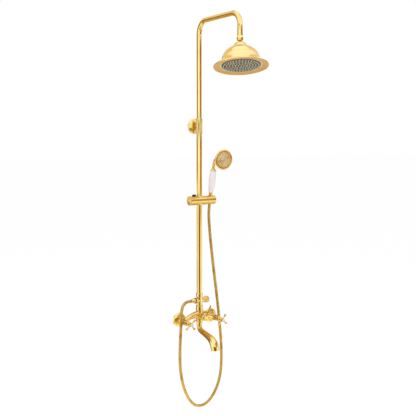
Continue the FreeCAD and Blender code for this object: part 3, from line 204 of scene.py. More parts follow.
@dataclass(frozen=True)
class Finish:
    """A real material with one surface treatment."""

    name: str  # the material's common name
    slot: Slot  # the record's slot that it belongs to
    colour: str  # sRGB hex value of the clean surface
    deep: str  # sRGB hex value of its darker patches, and of the painted shade in a wound strip's seams
    surface: Surface  # how it was made
    metallic: float = 0.0  # 1 for a bare or plated metal
    roughness: float = 0.4  # the shader's middle roughness
    spread: float = 0.05  # how far the roughness wanders from its middle
    patch: float = 40.0  # size of the tone's patches, in millimetres
    grain: float = 1.0  # size of the bump's grain, in millimetres
    bump: float = 0.01  # height of the bump, in millimetres
    # Further constant values for the shader's own sockets.
    sockets: dict[str, Any] = field(default_factory=dict)

    def build(self) -> Material:
        """Make the node tree.

        Returns:
            The finished material.
        """
        material = bpy.data.materials.new(self.name)
        tree = emptied(material)
        place = add_node(tree, "TexCoord").outputs["Object"]
        patches = add_node(tree, "TexNoise", {"Scale": per_mm(self.patch), "Detail": 3.0}, {"Vector": place})
        fac = {"Value": patches.outputs["Fac"]}
        share = add_node(tree, "MapRange", PATCH_RANGE, fac).outputs["Result"]
        # Painted shade: on the wound hose the deep colour also fills the strip's seams.
        if self.surface is Surface.WOUND:
            seam = add_node(tree, "Attribute", attribute_name=SEAM_SHADE_ATTRIBUTE)
            share = add_node(tree, "Math", None, {0: share, 1: seam.outputs["Fac"]},
                             operation="MAXIMUM").outputs[0]
        tone = add_node(tree, "Mix", None, {"Factor": share}, data_type="RGBA")
        tone.inputs["A"].default_value = linear(self.colour)
        tone.inputs["B"].default_value = linear(self.deep)
        ends = {"To Min": self.roughness - self.spread, "To Max": self.roughness + self.spread}
        rough = add_node(tree, "MapRange", ends, fac)
        relief = add_node(tree, "Bump", {"Distance": self.bump * MM, "Strength": 1.0},
                          {"Height": self.grain_texture(tree, place)})
        shader = add_node(tree, "BsdfPrincipled", {"Metallic": self.metallic, **self.sockets},
                          {"Base Color": tone.outputs["Result"], "Roughness": rough.outputs["Result"],
                           "Normal": relief.outputs["Normal"]})
        add_node(tree, "OutputMaterial", None, {"Surface": shader.outputs["BSDF"]})
        return material

    def grain_texture(self, tree: NodeTree, place: NodeSocket) -> NodeSocket:
        """Add the texture whose height the bump uses.

        Args:
            tree: the material's node tree.
            place: the object's own coordinates.

        Returns:
            The texture's value.
        """
        if self.surface is Surface.TURNED:
            place = add_node(tree, "Mapping", {"Scale": TURNING_STRETCH}, {"Vector": place}).outputs["Vector"]
        texture = add_node(tree, "TexNoise", {"Scale": per_mm(self.grain), "Detail": 2.0}, {"Vector": place})
        return texture.outputs["Fac"]


# Gold plate over buffed brass under clear lacquer: a mirror with the faint waviness that a
# buffing wheel leaves, and whiter lights where the lacquer shines over the metal.
POLISHED_GOLD = Finish("gold plated brass, buffed", Slot.GOLD, "E6BE5A", "DDB24C", Surface.BUFFED, 1.0, 0.12,
                       0.02, 90.0, 9.0, 0.002, {"Coat Weight": 0.15, "Coat Roughness": 0.06})
# The same plate on the castings and pressed covers, which are buffed less: their lights are blurred.
SOFT_GOLD = Finish("gold plated brass, cast", Slot.GOLD, "E6BE5A", "DBB04A", Surface.BUFFED, 1.0, 0.25,
                   0.03, 60.0, 7.0, 0.003, {"Coat Weight": 0.15, "Coat Roughness": 0.10})
# The lever's stick is turned from bar; its gold is painted shade: a darker, browner copy of the plate.
SHADED_GOLD = Finish("gold plated brass, painted shade", Slot.GOLD, "C8912C", "B07A1E", Surface.BUFFED, 1.0, 0.22,
                   0.03, 30.0, 5.0, 0.002)
# The same plate on a blasted face: it scatters, so it reads as flat orange gold.
SATIN_GOLD = Finish("gold plated brass, satin", Slot.GOLD_SATIN, "E0B25E", "D6A54C", Surface.SATIN, 1.0, 0.45,
                    0.05, 30.0, 0.8, 0.01)
# Strip steel wound round the hose and plated: duller than the pipes, with painted shade in the strip's seams.
WOUND_GOLD = Finish("gold plated steel strip, interlocked", Slot.HOSE_GOLD, "D2A544", "A87B26", Surface.WOUND,
                    1.0, 0.30, 0.04, 25.0, 2.0, 0.005)
# Unplated machined brass, seen only where the pieces come apart.
TURNED_BRASS = Finish("brass, turned", Slot.BRASS, "D8B46A", "C49C52", Surface.TURNED, 1.0, 0.28, 0.06, 20.0,
                      1.2, 0.01)
# The thread's end is near black, with a dull shine.
DARK_THREAD = Finish("brass, near black", Slot.UNION_BRASS, "4A3A1C", "2A2216", Surface.TURNED,
                       1.0, 0.45, 0.08, 8.0, 0.8, 0.02)
# Sheet and bar steel, brushed: grey, with a broad soft shine.
STAINLESS = Finish("stainless steel, brushed", Slot.STEEL, "B9B6AA", "9C998C", Surface.TURNED, 1.0, 0.32,
                   0.06, 18.0, 0.8, 0.01)
# The plated ring round the nozzle plate is paler than the bell, like champagne gold.
PALE_PLATE = Finish("champagne plated brass", Slot.PALE_TRIM, "E2D3A8", "D2C08C", Surface.SATIN, 1.0, 0.34,
                    0.05, 20.0, 0.8, 0.01)
# The plate behind the nozzles sits in their shade, which is painted into its colour as dark olive.
SHADED_PLATE_STEEL = Finish("steel sheet, painted shade", Slot.STEEL, "6A6140", "4E472C", Surface.SATIN, 1.0, 0.45, 0.08,
                     14.0, 1.0, 0.01)
# Soft self-cleaning nozzles: matt, grey-beige, slightly translucent at their tips.
GREY_SILICONE = Finish("silicone rubber, grey", Slot.RUBBER_GREY, "D0C7AE", "B3AA8E", Surface.MOULDED, 0.0,
                       0.50, 0.05, 12.0, 0.6, 0.01)
# Sealing rubber: black with a faint bloom.
BLACK_RUBBER = Finish("nitrile rubber, black", Slot.RUBBER_BLACK, "131211", "1C1A19", Surface.MOULDED, 0.0,
                      0.70, 0.05, 10.0, 0.5, 0.01, {"Specular IOR Level": 0.2})
# The release tab: moulded, with a fine spark-eroded grain.
BLACK_PLASTIC = Finish("acetal, black", Slot.BLACK_PLASTIC, "141416", "1E1E21", Surface.MOULDED, 0.0, 0.35,
                       0.05, 10.0, 0.5, 0.01)
# Bearing plastic: waxy white.
NATURAL_NYLON = Finish("nylon, natural", Slot.NYLON, "E9E4D6", "DCD5C2", Surface.MOULDED, 0.0, 0.42, 0.05,
                       15.0, 0.7, 0.01)
# White porcelain: a faint violet-grey cast and a soft gloss over it.
GLAZED_PORCELAIN = Finish("glazed porcelain", Slot.CERAMIC, "E9E2E3", "E2DADC", Surface.GLAZED, 0.0, 0.30,
                          0.03, 22.0, 30.0, 0.001)
# The buttons carry a thicker glaze: a wet, bluish shine.
THICK_GLAZE = Finish("glazed porcelain, blue white", Slot.CERAMIC, "CDD8EC", "BCCAE2", Surface.GLAZED, 0.0,
                     0.12, 0.03, 8.0, 20.0, 0.001, {"Coat Weight": 0.8, "Coat Roughness": 0.05})
# The insert in the spout's mouth: brown, painted shade so that the mouth reads as dark.
SHADED_INSERT = Finish("acetal, brown, painted shade", Slot.DARK_TRIM, "3A2C16", "2C2110", Surface.MOULDED, 0.0, 0.45, 0.05,
                     10.0, 0.6, 0.01)


# ---- studio ----
# Daylight on a white card: cool enough that gold's lights turn pale, and bluer from overhead, where
# they are palest. A flag is old-gold cloth.
COOL = "A9C0FF"
OVERHEAD = "97A5FF"
FLAG = "B9811F"


def linked(name: str, data: ID) -> Object:
    """Return a new object of the scene for a mesh, a lamp or a camera."""
    thing = bpy.data.objects.new(name, data)
    bpy.context.scene.collection.objects.link(thing)
    return thing


def aim(thing: Object, place: Vector, way: Vector) -> None:
    """Stand a camera or a lamp at a place, in millimetres, and make it look along a direction."""
    thing.rotation_mode = "QUATERNION"
    thing.rotation_quaternion = way.to_track_quat("-Z", "Y")
    thing.location = place * MM


def spread(start: float, end: float, steps: int) -> list[float]:
    """Return evenly spaced values from a start to an end."""
    return [start + (end - start) * step / steps for step in range(steps + 1)]


@dataclass(frozen=True)
class Card:
    """A soft-edged patch of light or shade on the tent's wall."""

    start: float  # first edge, in degrees to the right of the camera
    end: float  # second edge
    low: float  # height of its foot
    high: float  # height of its top
    colour: str  # sRGB hex value of its light
    strength: float = 1.0  # how bright it is
    side_fade: float = 12.0  # angle over which its sides fade out
    end_fade: float = 80.0  # height over which its foot and top fade out

    def light(self) -> Vector:
        """Return the card's light, scene-linear."""
        return Vector(linear(self.colour)[:3]) * self.strength

    def share(self, turn: float, height: float) -> float:
        """Return how much of the card is seen at an angle and a height, from 0 to 1."""
        turn = (turn - self.start) % 360.0
        sides = min(turn, self.end - self.start - turn) / self.side_fade
        return eased(min(sides, min(height - self.low, self.high - height) / self.end_fade))


@dataclass
class Studio:
    """White studio with a pale floor, soft lamps, and a light tent that only polished surfaces show."""

    eye: Vector = field(default_factory=lambda: Vector((-1500.5, -2537.2, 771.9)))  # the camera's place
    yaw: float = 31.695  # the camera's turn to the right of +Y, in degrees
    dip: float = 6.0  # how far the camera looks down, in degrees
    lens: float = 61.97  # focal length for a sensor 36 mm wide
    floor_drop: float = 160.0  # the floor below the object
    floor_size: float = 60000.0  # the floor's width
    tent_radius: float = 1300.0  # the tent wall's distance from the riser
    tent_foot: float = -800.0  # height of the wall's foot
    tent_top: float = 3300.0  # height of the wall's top and of the ceiling
    sky: float = 0.74  # strength of the white sky on matt surfaces
    # The flags and reflectors on the tent's wall, the nearest first.
    cards: tuple[Card, ...] = (
        Card(53.0, 71.0, 690.0, 1240.0, "F8E293", 0.85, 5.0, 60.0),  # face flag
        Card(42.0, 84.0, 180.0, 740.0, "E6B848", 1.0, 14.0, 160.0),  # slider flag
        Card(-46.0, 12.0, 758.0, 850.0, FLAG, 0.6, 8.0, 13.0),  # sleeve flag
        Card(6.0, 120.0, 758.0, 850.0, COOL, 2.4, 10.0, 13.0),  # sleeve right reflector
        Card(-150.0, -34.0, 758.0, 850.0, COOL, 2.4, 10.0, 13.0),  # sleeve left reflector
        Card(-160.0, -96.0, -330.0, 60.0, "7A4706", 0.45, 8.0, 50.0),  # spout flag
        Card(-160.0, -104.0, -800.0, -240.0, "C98F2C", 0.7, 8.0, 60.0),  # barrel flag
        Card(-145.0, -95.0, 20.0, 360.0, FLAG, 0.8, 13.0, 60.0),  # mixer flag
        Card(-56.0, 6.0, 1325.0, 1460.0, FLAG, 0.7, 14.0, 40.0),  # drop flag
        Card(24.0, 122.0, 395.0, 1335.0, FLAG, 0.8, 14.0, 50.0),  # upper flag
        Card(-186.0, -66.0, 450.0, 1430.0, "BF8A28", 0.8, 16.0, 90.0),  # upper back flag
        Card(-30.0, 38.0, -800.0, 410.0, FLAG, 0.75, 9.0, 50.0),  # lower flag
        Card(-70.0, 34.0, 380.0, 1800.0, COOL, 3.4, 20.0, 50.0),  # upper reflector
        Card(-120.0, 130.0, 1320.0, 3300.0, OVERHEAD, 4.8, 80.0, 60.0),  # overhead reflector
        Card(-122.0, -32.0, -800.0, 420.0, COOL, 3.2, 14.0, 50.0),  # lower left reflector
        Card(38.0, 114.0, -800.0, 420.0, COOL, 3.2, 14.0, 50.0),  # lower right reflector
        Card(-190.0, -116.0, -800.0, 480.0, "F0D080", 0.9, 12.0, 180.0),  # lower back reflector
    )

    def build(self) -> None:
        """Make the floor, the world, the lamps, the tent and the camera."""
        self.floor()
        self.world()
        self.lamps()
        self.wall()
        self.ceiling()
        self.floor_flag()
        self.camera()

    def camera(self) -> None:
        """Stand the camera where it looks at the column from the front left."""
        data = bpy.data.cameras.new("camera")
        data.lens = self.lens
        data.clip_end = 100.0
        camera = linked("camera", data)
        yaw, dip = math.radians(self.yaw), math.radians(self.dip)
        aim(camera, self.eye,
            Vector((math.sin(yaw) * math.cos(dip), math.cos(yaw) * math.cos(dip), -math.sin(dip))))
        bpy.context.scene.camera = camera

    def at(self, turn: float, reach: float, height: float) -> Vector:
        """Return the point at an angle to the right of the camera, a reach from the riser and a height."""
        angle = math.atan2(self.eye.y - RISER.y, self.eye.x - RISER.x) + math.radians(turn)
        return Vector((RISER.x + reach * math.cos(angle), RISER.y + reach * math.sin(angle), height))

    def wall(self) -> None:
        """Stand the tent's wall round the column, with its flags and reflectors."""
        cards = [(card, card.light()) for card in reversed(self.cards)]

        def light(turn: float, height: float) -> Vector:
            """Return the light at an angle and a height, the nearest card over the others."""
            total = Vector((1.0, 1.0, 1.0))
            for card, own in cards:
                total = total.lerp(own, card.share(turn, height))
            return total

        self.lit("tent wall", spread(0.0, 360.0, 120), spread(self.tent_foot, self.tent_top, 328),
                 lambda turn, height: self.at(turn, self.tent_radius, height), light)

    def ceiling(self) -> None:
        """Close the tent with a ceiling that is brightest in the middle."""
        middle = Vector(linear(OVERHEAD)[:3]) * 5.0
        rim = Vector((1.6, 1.75, 3.0))
        self.lit("tent ceiling", spread(0.0, 360.0, 48), spread(0.0, self.tent_radius, 24),
                 lambda turn, reach: self.at(turn, reach, self.tent_top),
                 lambda turn, reach: middle.lerp(rim, eased(reach / self.tent_radius)))

    def floor_flag(self) -> None:
        """Lay a white card under the column and a dark flag behind it, for what faces down."""
        flag = Card(-215.0, -125.0, 640.0, 1250.0, "7A4A08", 0.5, 20.0, 60.0)
        height = CAD_BOX[0].z / MM - self.floor_drop + 5.0
        near, far = Vector((1.5, 1.7, 2.4)), Vector((0.98, 0.98, 0.98))

        def light(turn: float, reach: float) -> Vector:
            """Return the light at an angle and a reach."""
            card = near.lerp(far, eased((reach - 350.0) / 250.0))
            return card.lerp(flag.light(), flag.share(turn, reach))

        self.lit("tent floor", spread(0.0, 360.0, 72), spread(0.0, 1250.0, 25),
                 lambda turn, reach: self.at(turn, reach, height), light)

    def lit(self, name: str, turns: list[float], rows: list[float], place: Callable[[float, float], Vector],
            light: Callable[[float, float], Vector]) -> None:
        """Make a sheet of light that only polished surfaces show.

        Args:
            name: the sheet's name.
            turns: angles of its columns of points.
            rows: the height or the reach of each row of points.
            place: gives a point, in millimetres, at an angle and a row.
            light: gives its light there, scene-linear.
        """
        spots = [(turn, row) for turn in turns for row in rows]
        count = len(rows)
        faces = [(low, low + count, low + count + 1, low + 1)
                 for low in range(len(spots) - count) if low % count < count - 1]
        mesh = bpy.data.meshes.new(name)
        mesh.from_pydata([place(*spot) * MM for spot in spots], [], faces)
        colours = [channel for spot in spots for channel in (*light(*spot), 1.0)]
        mesh.attributes.new("light", "FLOAT_COLOR", "POINT").data.foreach_set("color", colours)
        sheet = linked(name, mesh)
        material = bpy.data.materials.new(name)
        tree = emptied(material)
        material.cycles.emission_sampling = "NONE"
        colour = add_node(tree, "Attribute", attribute_name="light")
        glow = add_node(tree, "Emission", {"Strength": 1.0}, {"Color": colour.outputs["Color"]})
        add_node(tree, "OutputMaterial", None, {"Surface": glow.outputs[0]})
        mesh.materials.append(material)
        for ray in ("camera", "diffuse", "transmission", "volume_scatter", "shadow"):
            setattr(sheet, "visible_" + ray, False)

    def mixed(self, tree: NodeTree, share: float, other: Node, direct: Node) -> NodeSocket:
        """Show one shader to the camera, to metal and through glass, and another one to other rays.

        Args:
            tree: the node tree.
            share: how much of the second shader the camera, metal and glass get.
            other: what other rays get.
            direct: what the camera, metal and glass get.

        Returns:
            The mixed shader's socket.
        """
        ray = add_node(tree, "LightPath").outputs
        seen = ray["Is Camera Ray"]
        for kind in ("Is Glossy Ray", "Is Transmission Ray"):
            seen = add_node(tree, "Math", None, {0: seen, 1: ray[kind]}, operation="MAXIMUM").outputs[0]
        seen = add_node(tree, "Math", {1: share}, {0: seen}, operation="MULTIPLY").outputs[0]
        shaders = {1: other.outputs[0], 2: direct.outputs[0]}
        return add_node(tree, "MixShader", None, {0: seen, **shaders}).outputs[0]

    def floor(self) -> None:
        """Lay a pale floor that stays white to the eye but keeps a soft shadow."""
        height = CAD_BOX[0].z - self.floor_drop * MM
        half = self.floor_size * MM / 2
        mesh = bpy.data.meshes.new("floor")
        corners = [(-half, -half, height), (half, -half, height), (half, half, height), (-half, half, height)]
        mesh.from_pydata(corners, [], [(0, 1, 2, 3)])
        floor = linked("floor", mesh)
        material = bpy.data.materials.new("studio floor")
        tree = emptied(material)
        paint = add_node(tree, "BsdfDiffuse", {"Color": linear("F6F6F6")})
        white = add_node(tree, "Emission", {"Color": linear("FFFFFF"), "Strength": 1.05})
        add_node(tree, "OutputMaterial", None, {"Surface": self.mixed(tree, 0.84, paint, white)})
        mesh.materials.append(material)

    def world(self) -> None:
        """White backdrop for the eye and for metal, and a soft white sky on matt surfaces."""
        world = bpy.data.worlds.new("studio")
        bpy.context.scene.world = world
        tree = emptied(world)
        sky = add_node(tree, "Background", {"Color": linear("FFFFFF"), "Strength": self.sky})
        white = add_node(tree, "Background", {"Color": linear("FFFFFF"), "Strength": 1.0})
        add_node(tree, "OutputWorld", None, {"Surface": self.mixed(tree, 1.0, sky, white)})
        bpy.context.scene.view_settings.view_transform = "Standard"

    def lamps(self) -> None:
        """Hang the softboxes: a key from the left front, a fill and a top light.

        They light matt surfaces; polished ones show the cards instead.
        """
        centre = Vector((0.0, -150.0, 500.0))
        boxes = [
            ("key softbox", Vector((-2100.0, -1500.0, 1900.0)), (1100.0, 1500.0), 26.0),
            ("fill softbox", Vector((1500.0, -2300.0, 900.0)), (900.0, 1700.0), 10.0),
            ("top softbox", Vector((0.0, -300.0, 2700.0)), (1600.0, 1200.0), 16.0),
        ]
        for name, place, (width, height), power in boxes:
            data = bpy.data.lights.new(name, "AREA")
            data.shape = "RECTANGLE"
            data.size, data.size_y = width * MM, height * MM
            data.energy = power
            lamp = linked(name, data)
            lamp.visible_glossy = False
            aim(lamp, place, centre - place)


# ---- mesh tools ----
def rounded(corners: Sequence[tuple[float, ...]], steps: int = 5) -> Profile:
    """Round the corners of a closed profile.

    Args:
        corners: (radius, height) or (radius, height, fillet) for each corner.
        steps: segments on each fillet.

    Returns:
        The profile with an arc at each corner that has a fillet.
    """
    profile: Profile = []
    count = len(corners)
    for index, corner in enumerate(corners):
        point = Vector(corner[:2])
        fillet = corner[2] if len(corner) > 2 else 0.0
        to_last = Vector(corners[index - 1][:2]) - point
        to_next = Vector(corners[(index + 1) % count][:2]) - point
        if fillet <= 0.0 or to_last.length < 1e-6 or to_next.length < 1e-6:
            profile.append((point.x, point.y))
            continue
        half = to_last.angle(to_next) / 2
        reach = min(fillet / math.tan(half), to_last.length * 0.49, to_next.length * 0.49)
        radius = reach * math.tan(half)
        middle = (to_last.normalized() + to_next.normalized()).normalized()
        centre = point + middle * (radius / math.sin(half))
        first = point + to_last.normalized() * reach - centre
        last = point + to_next.normalized() * reach - centre
        for step in range(steps + 1):
            ray = first.slerp(last, step / steps) * radius
            profile.append((centre.x + ray.x, centre.y + ray.y))
    return profile


def flowing(points: Sequence[Sequence[float]], steps: int = 8) -> Profile:
    """Run a smooth curve through points of any number of values.

    Args:
        points: the points that the curve passes through.
        steps: segments between two points.

    Returns:
        The curve's points, the given ones among them.
    """
    line = []
    last = len(points) - 1
    for index in range(last):
        before = points[max(index - 1, 0)]
        start = points[index]
        end = points[index + 1]
        after = points[min(index + 2, last)]
        for step in range(steps):
            t = step / steps
            line.append(tuple(
                0.5 * (2 * b + (c - a) * t + (2 * a - 5 * b + 4 * c - d) * t * t
                       + (3 * b - a - 3 * c + d) * t ** 3)
                for a, b, c, d in zip(before, start, end, after)))
    line.append(tuple(points[last]))
    return line


def placed(origin: Vector, way: Vector) -> Matrix:
    """Return the matrix that takes local +Z to a direction and the local origin to a place in metres."""
    turn = UP.rotation_difference(way).to_matrix().to_4x4()
    return Matrix.Translation(origin * MM) @ turn @ Matrix.Scale(MM, 4)


def written(shape: bmesh.types.BMesh) -> Mesh:
    """Return what a bmesh holds as a mesh, and free it."""
    mesh = bpy.data.meshes.new("shape")
    shape.to_mesh(mesh)
    shape.free()
    return mesh


def solid(vertices: list[Vector], faces: list[tuple[int, ...]], matrix: Matrix) -> Mesh:
    """Make a mesh whose faces look outward.

    Args:
        vertices: places in the local frame.
        faces: indices of each face's vertices.
        matrix: takes the local frame to the object's, in metres.

    Returns:
        The mesh.
    """
    shape = bmesh.new()
    made = [shape.verts.new(matrix @ vertex) for vertex in vertices]
    for face in faces:
        if len(set(face)) > 2:
            shape.faces.new([made[index] for index in face])
    bmesh.ops.recalc_face_normals(shape, faces=shape.faces)
    return written(shape)


def supported(profile: Sequence[Sequence[float]]) -> Profile:
    """Add a point near both ends of each long run, so that fillets don't tint the shading beyond them.

    Args:
        profile: (radius, height) points of a closed outline.

    Returns:
        The same outline with the added points.
    """
    points: Profile = []
    for start, end in zip(profile, [*profile[1:], profile[0]]):
        points.append((start[0], start[1]))
        run = math.dist(start[:2], end[:2])
        if run > 6 * SUPPORT and max(start[0], end[0]) > ON_AXIS:
            for share in (SUPPORT / run, 1 - SUPPORT / run):
                points.append(tuple(start[axis] + (end[axis] - start[axis]) * share for axis in (0, 1)))
    return points


def revolve(profile: Sequence[Sequence[float]], origin: Vector, way: Vector, around: int = 96,
            shape: Shaping | None = None) -> Mesh:
    """Turn a profile round an axis.

    Args:
        profile: (radius, height) points of a closed outline, or of one that ends on the axis twice.
        origin: the axis's foot.
        way: the axis's direction.
        around: segments round the axis.
        shape: changes the radius by angle, radius and height.

    Returns:
        A closed mesh.
    """
    vertices: list[Vector] = []
    rings: list[list[int]] = []
    open_ended = profile[0][0] < ON_AXIS and profile[-1][0] < ON_AXIS
    for radius, height in supported(profile):
        if radius < ON_AXIS:
            vertices.append(Vector((0.0, 0.0, height)))
            rings.append([len(vertices) - 1] * around)
            continue
        ring = []
        for step in range(around):
            angle = 2 * math.pi * step / around
            reach = shape(angle, radius, height) if shape else radius
            ring.append(len(vertices))
            vertices.append(Vector((reach * math.cos(angle), reach * math.sin(angle), height)))
        rings.append(ring)
    faces = []
    pairs = list(zip(rings, rings[1:])) + ([] if open_ended else [(rings[-1], rings[0])])
    for low, high in pairs:
        for step in range(around):
            after = (step + 1) % around
            corners = [low[step], low[after], high[after], high[step]]
            faces.append(tuple(dict.fromkeys(corners)))
    return solid(vertices, faces, placed(origin, way))


def transported(line: Sequence[Vector]) -> list[tuple[Vector, Vector, Vector]]:
    """Carry a pair of axes along a line without twist.

    Args:
        line: points along the line.

    Returns:
        For each point its tangent and the two axes of its section.
    """
    tangents = []
    last = len(line) - 1
    for index in range(len(line)):
        tangents.append((line[min(index + 1, last)] - line[max(index - 1, 0)]).normalized())
    side = tangents[0].orthogonal().normalized()
    frames = []
    for index, tangent in enumerate(tangents):
        if index:
            side = tangents[index - 1].rotation_difference(tangent) @ side
        side = (side - tangent * side.dot(tangent)).normalized()
        frames.append((tangent, side, tangent.cross(side)))
    return frames


def circle(centre: Vector, side: Vector, other: Vector, around: int, reach: float) -> list[Vector]:
    """Return points round a centre, from one axis of its plane towards the other."""
    angles = [2 * math.pi * step / around for step in range(around)]
    return [centre + (side * math.cos(angle) + other * math.sin(angle)) * reach for angle in angles]


def between(rows: int, around: int, closed: bool = False) -> list[tuple[int, ...]]:
    """Join rings of vertices by faces.

    Args:
        rows: how many rings there are, one after the other.
        around: vertices in a ring.
        closed: whether the last ring joins the first.

    Returns:
        Each face's vertices.
    """
    faces = []
    for row in range(rows if closed else rows - 1):
        low, high = row * around, (row + 1) % rows * around
        for step in range(around):
            after = (step + 1) % around
            faces.append((low + step, low + after, high + after, high + step))
    return faces


def skinned(vertices: list[Vector], around: int, closed: bool = True) -> Mesh:
    """Skin rings of vertices.

    Args:
        vertices: the rings' vertices in millimetres, ring after ring.
        around: vertices in a ring.
        closed: whether the last ring joins the first, or else both get a cap.

    Returns:
        A closed mesh.
    """
    faces = between(len(vertices) // around, around, closed)
    if not closed:
        faces += [tuple(range(around)), tuple(range(len(vertices) - around, len(vertices)))]
    return solid(vertices, faces, Matrix.Scale(MM, 4))


def sweep(line: Sequence[Vector], radii: Sequence[float] | float, around: int = 64,
          wall: float = 0.0) -> Mesh:
    """Sweep a round section along a line.

    Args:
        line: the section's centres.
        radii: one radius, or one for each centre.
        around: segments round the section.
        wall: the tube's wall, or 0 for a solid rod.

    Returns:
        A closed mesh.
    """
    if isinstance(radii, (int, float)):
        radii = [radii] * len(line)
    stations = list(zip(line, transported(line), radii))
    if wall:
        stations += [(centre, axes, radius - wall) for centre, axes, radius in reversed(stations)]
    vertices = [vertex for centre, (_, side, other), radius in stations
                for vertex in circle(centre, side, other, around, radius)]
    return skinned(vertices, around, bool(wall))


def bent(points: Sequence[Vector], radius: float, steps: int = 24) -> list[Vector]:
    """Join points by straight runs with an arc at each corner.

    Args:
        points: ends and corners.
        radius: the arcs' radius.
        steps: segments on each arc.

    Returns:
        The line's points.
    """
    line = [points[0]]
    for before, corner, after in zip(points, points[1:], points[2:]):
        arrive = (corner - before).normalized()
        leave = (after - corner).normalized()
        turn = arrive.angle(leave)
        reach = radius * math.tan(turn / 2)
        start = corner - arrive * reach
        centre = start + (leave - arrive * arrive.dot(leave)).normalized() * radius
        axis = arrive.cross(leave).normalized()
        line.append(start - arrive * SUPPORT)
        for step in range(steps + 1):
            line.append(centre + Quaternion(axis, turn * step / steps) @ (start - centre))
        line.append(corner + leave * (reach + SUPPORT))
    line.append(points[-1])
    return line


def merged(meshes: Iterable[Mesh]) -> Mesh:
    """Gather several meshes in one.

    Args:
        meshes: the meshes, which are removed.

    Returns:
        The gathered mesh.
    """
    shape = bmesh.new()
    for mesh in meshes:
        shape.from_mesh(mesh)
        bpy.data.meshes.remove(mesh)
    return written(shape)


def repeated(mesh: Mesh, origin: Vector, way: Vector, places: Iterable[Vector]) -> Mesh:
    """Repeat an upright mesh along an axis and beside it.

    Args:
        mesh: the mesh to repeat, which is removed.
        origin: the axis's foot.
        way: the axis's direction.
        places: where each copy stands, seen from the axis's foot, with Z along the axis.

    Returns:
        All the copies in one mesh.
    """
    copies = []
    for place in places:
        copy = mesh.copy()
        copy.transform(placed(origin, way) @ Matrix.Translation(place) @ Matrix.Scale(1 / MM, 4))
        copies.append(copy)
    bpy.data.meshes.remove(mesh)
    return merged(copies)


def combined(mesh: Mesh, others: Sequence[Mesh], operation: str) -> Mesh:
    """Cut or join meshes.

    Args:
        mesh: the first mesh.
        others: closed meshes to cut away or to join.
        operation: DIFFERENCE or UNION.

    Returns:
        The new mesh.
    """
    target = linked("target", mesh)
    tools = [linked("tool", other) for other in others]
    for tool in tools:
        step = target.modifiers.new("step", "BOOLEAN")
        step.operation = operation
        step.solver = "EXACT"
        step.object = tool
    bpy.context.view_layer.update()
    result = bpy.data.meshes.new_from_object(target.evaluated_get(bpy.context.evaluated_depsgraph_get()))
    for thing in [target, *tools]:
        bpy.data.objects.remove(thing)
    return result


def carved(mesh: Mesh, *cutters: Mesh) -> Mesh:
    """Return a mesh with closed meshes cut out of it."""
    return combined(mesh, cutters, "DIFFERENCE")


def fused(mesh: Mesh, *others: Mesh) -> Mesh:
    """Return meshes joined to one skin."""
    return combined(mesh, others, "UNION")


def block(low: Vector, high: Vector, fillet: float) -> Mesh:
    """Make a block with rolled edges.

    Args:
        low: lowest corner.
        high: highest corner.
        fillet: the edges' radius.

    Returns:
        The mesh.
    """
    shape = bmesh.new()
    bmesh.ops.create_cube(shape, size=1.0)
    size = high - low
    middle = (low + high) / 2
    bmesh.ops.transform(shape, matrix=Matrix.Translation(middle) @ Matrix.Diagonal((*size, 1.0)),
                        verts=shape.verts)
    bmesh.ops.bevel(shape, geom=list(shape.edges), offset=fillet, segments=5, profile=0.5, affect="EDGES")
    bmesh.ops.transform(shape, matrix=Matrix.Scale(MM, 4), verts=shape.verts)
    return written(shape)


def arc_through(start: Sequence[float], middle: Sequence[float], end: Sequence[float],
                steps: int = 16) -> Profile:
    """Run an arc through three points of a profile.

    Args:
        start: first point, left out of the result.
        middle: a point on the way.
        end: last point.
        steps: segments on the arc.

    Returns:
        The arc's points after the first.
    """
    (ax, ay), (bx, by), (cx, cy) = start, middle, end
    across = 2 * (ax * (by - cy) + bx * (cy - ay) + cx * (ay - by))
    a, b, c = ax * ax + ay * ay, bx * bx + by * by, cx * cx + cy * cy
    centre = Vector(((a * (by - cy) + b * (cy - ay) + c * (ay - by)) / across,
                     (a * (cx - bx) + b * (ax - cx) + c * (bx - ax)) / across))
    radius = (Vector(start) - centre).length
    first, halfway, last = [math.atan2(point[1] - centre.y, point[0] - centre.x)
                            for point in (start, middle, end)]
    turn = (last - first) % (2 * math.pi)
    if (halfway - first) % (2 * math.pi) > turn:
        turn -= 2 * math.pi
    return [(centre.x + radius * math.cos(first + turn * step / steps),
             centre.y + radius * math.sin(first + turn * step / steps)) for step in range(1, steps + 1)]


def near_line(point: Vector, line: Sequence[Vector]) -> float:
    """Measure how far a point is from a line of straight runs.

    Args:
        point: the point.
        line: the ends of the runs.

    Returns:
        The shortest distance.
    """
    best = math.inf
    for start, end in zip(line, line[1:]):
        run = end - start
        share = min(max((point - start).dot(run) / max(run.length_squared, 1e-12), 0.0), 1.0)
        best = min(best, (start + run * share - point).length)
    return best


def sheet_of(outer: Profile, wall: float) -> Profile:
    """Close the profile of a pressed sheet.

    Args:
        outer: the outer side, with the sheet on the left of the way that it runs.
        wall: the sheet's thickness.

    Returns:
        The outer side and the inner side, as one closed outline.
    """
    line = [Vector(point) for point in outer]
    inner = []
    for index, point in enumerate(line):
        along = (line[min(index + 1, len(line) - 1)] - line[max(index - 1, 0)]).normalized()
        moved = point + Vector((-along.y, along.x)) * wall
        if near_line(moved, line) > wall * 0.97:
            inner.append((moved.x, moved.y))
    return list(outer) + inner[::-1]


def ring_places(count: int, radius: float, start: float = 0.0) -> list[Vector]:
    """Return points evenly spaced on a circle."""
    return [Vector((radius * math.cos(start + 2 * math.pi * step / count),
                    radius * math.sin(start + 2 * math.pi * step / count), 0.0)) for step in range(count)]


def nozzle_places(rings: int, pitch: float) -> list[Vector]:
    """Return a centre place and rings of places, six more on each ring than on the last."""
    twist = 0.3
    return [ORIGIN] + [place for ring in range(1, rings + 1)
                       for place in ring_places(6 * ring, ring * pitch, twist * ring)]


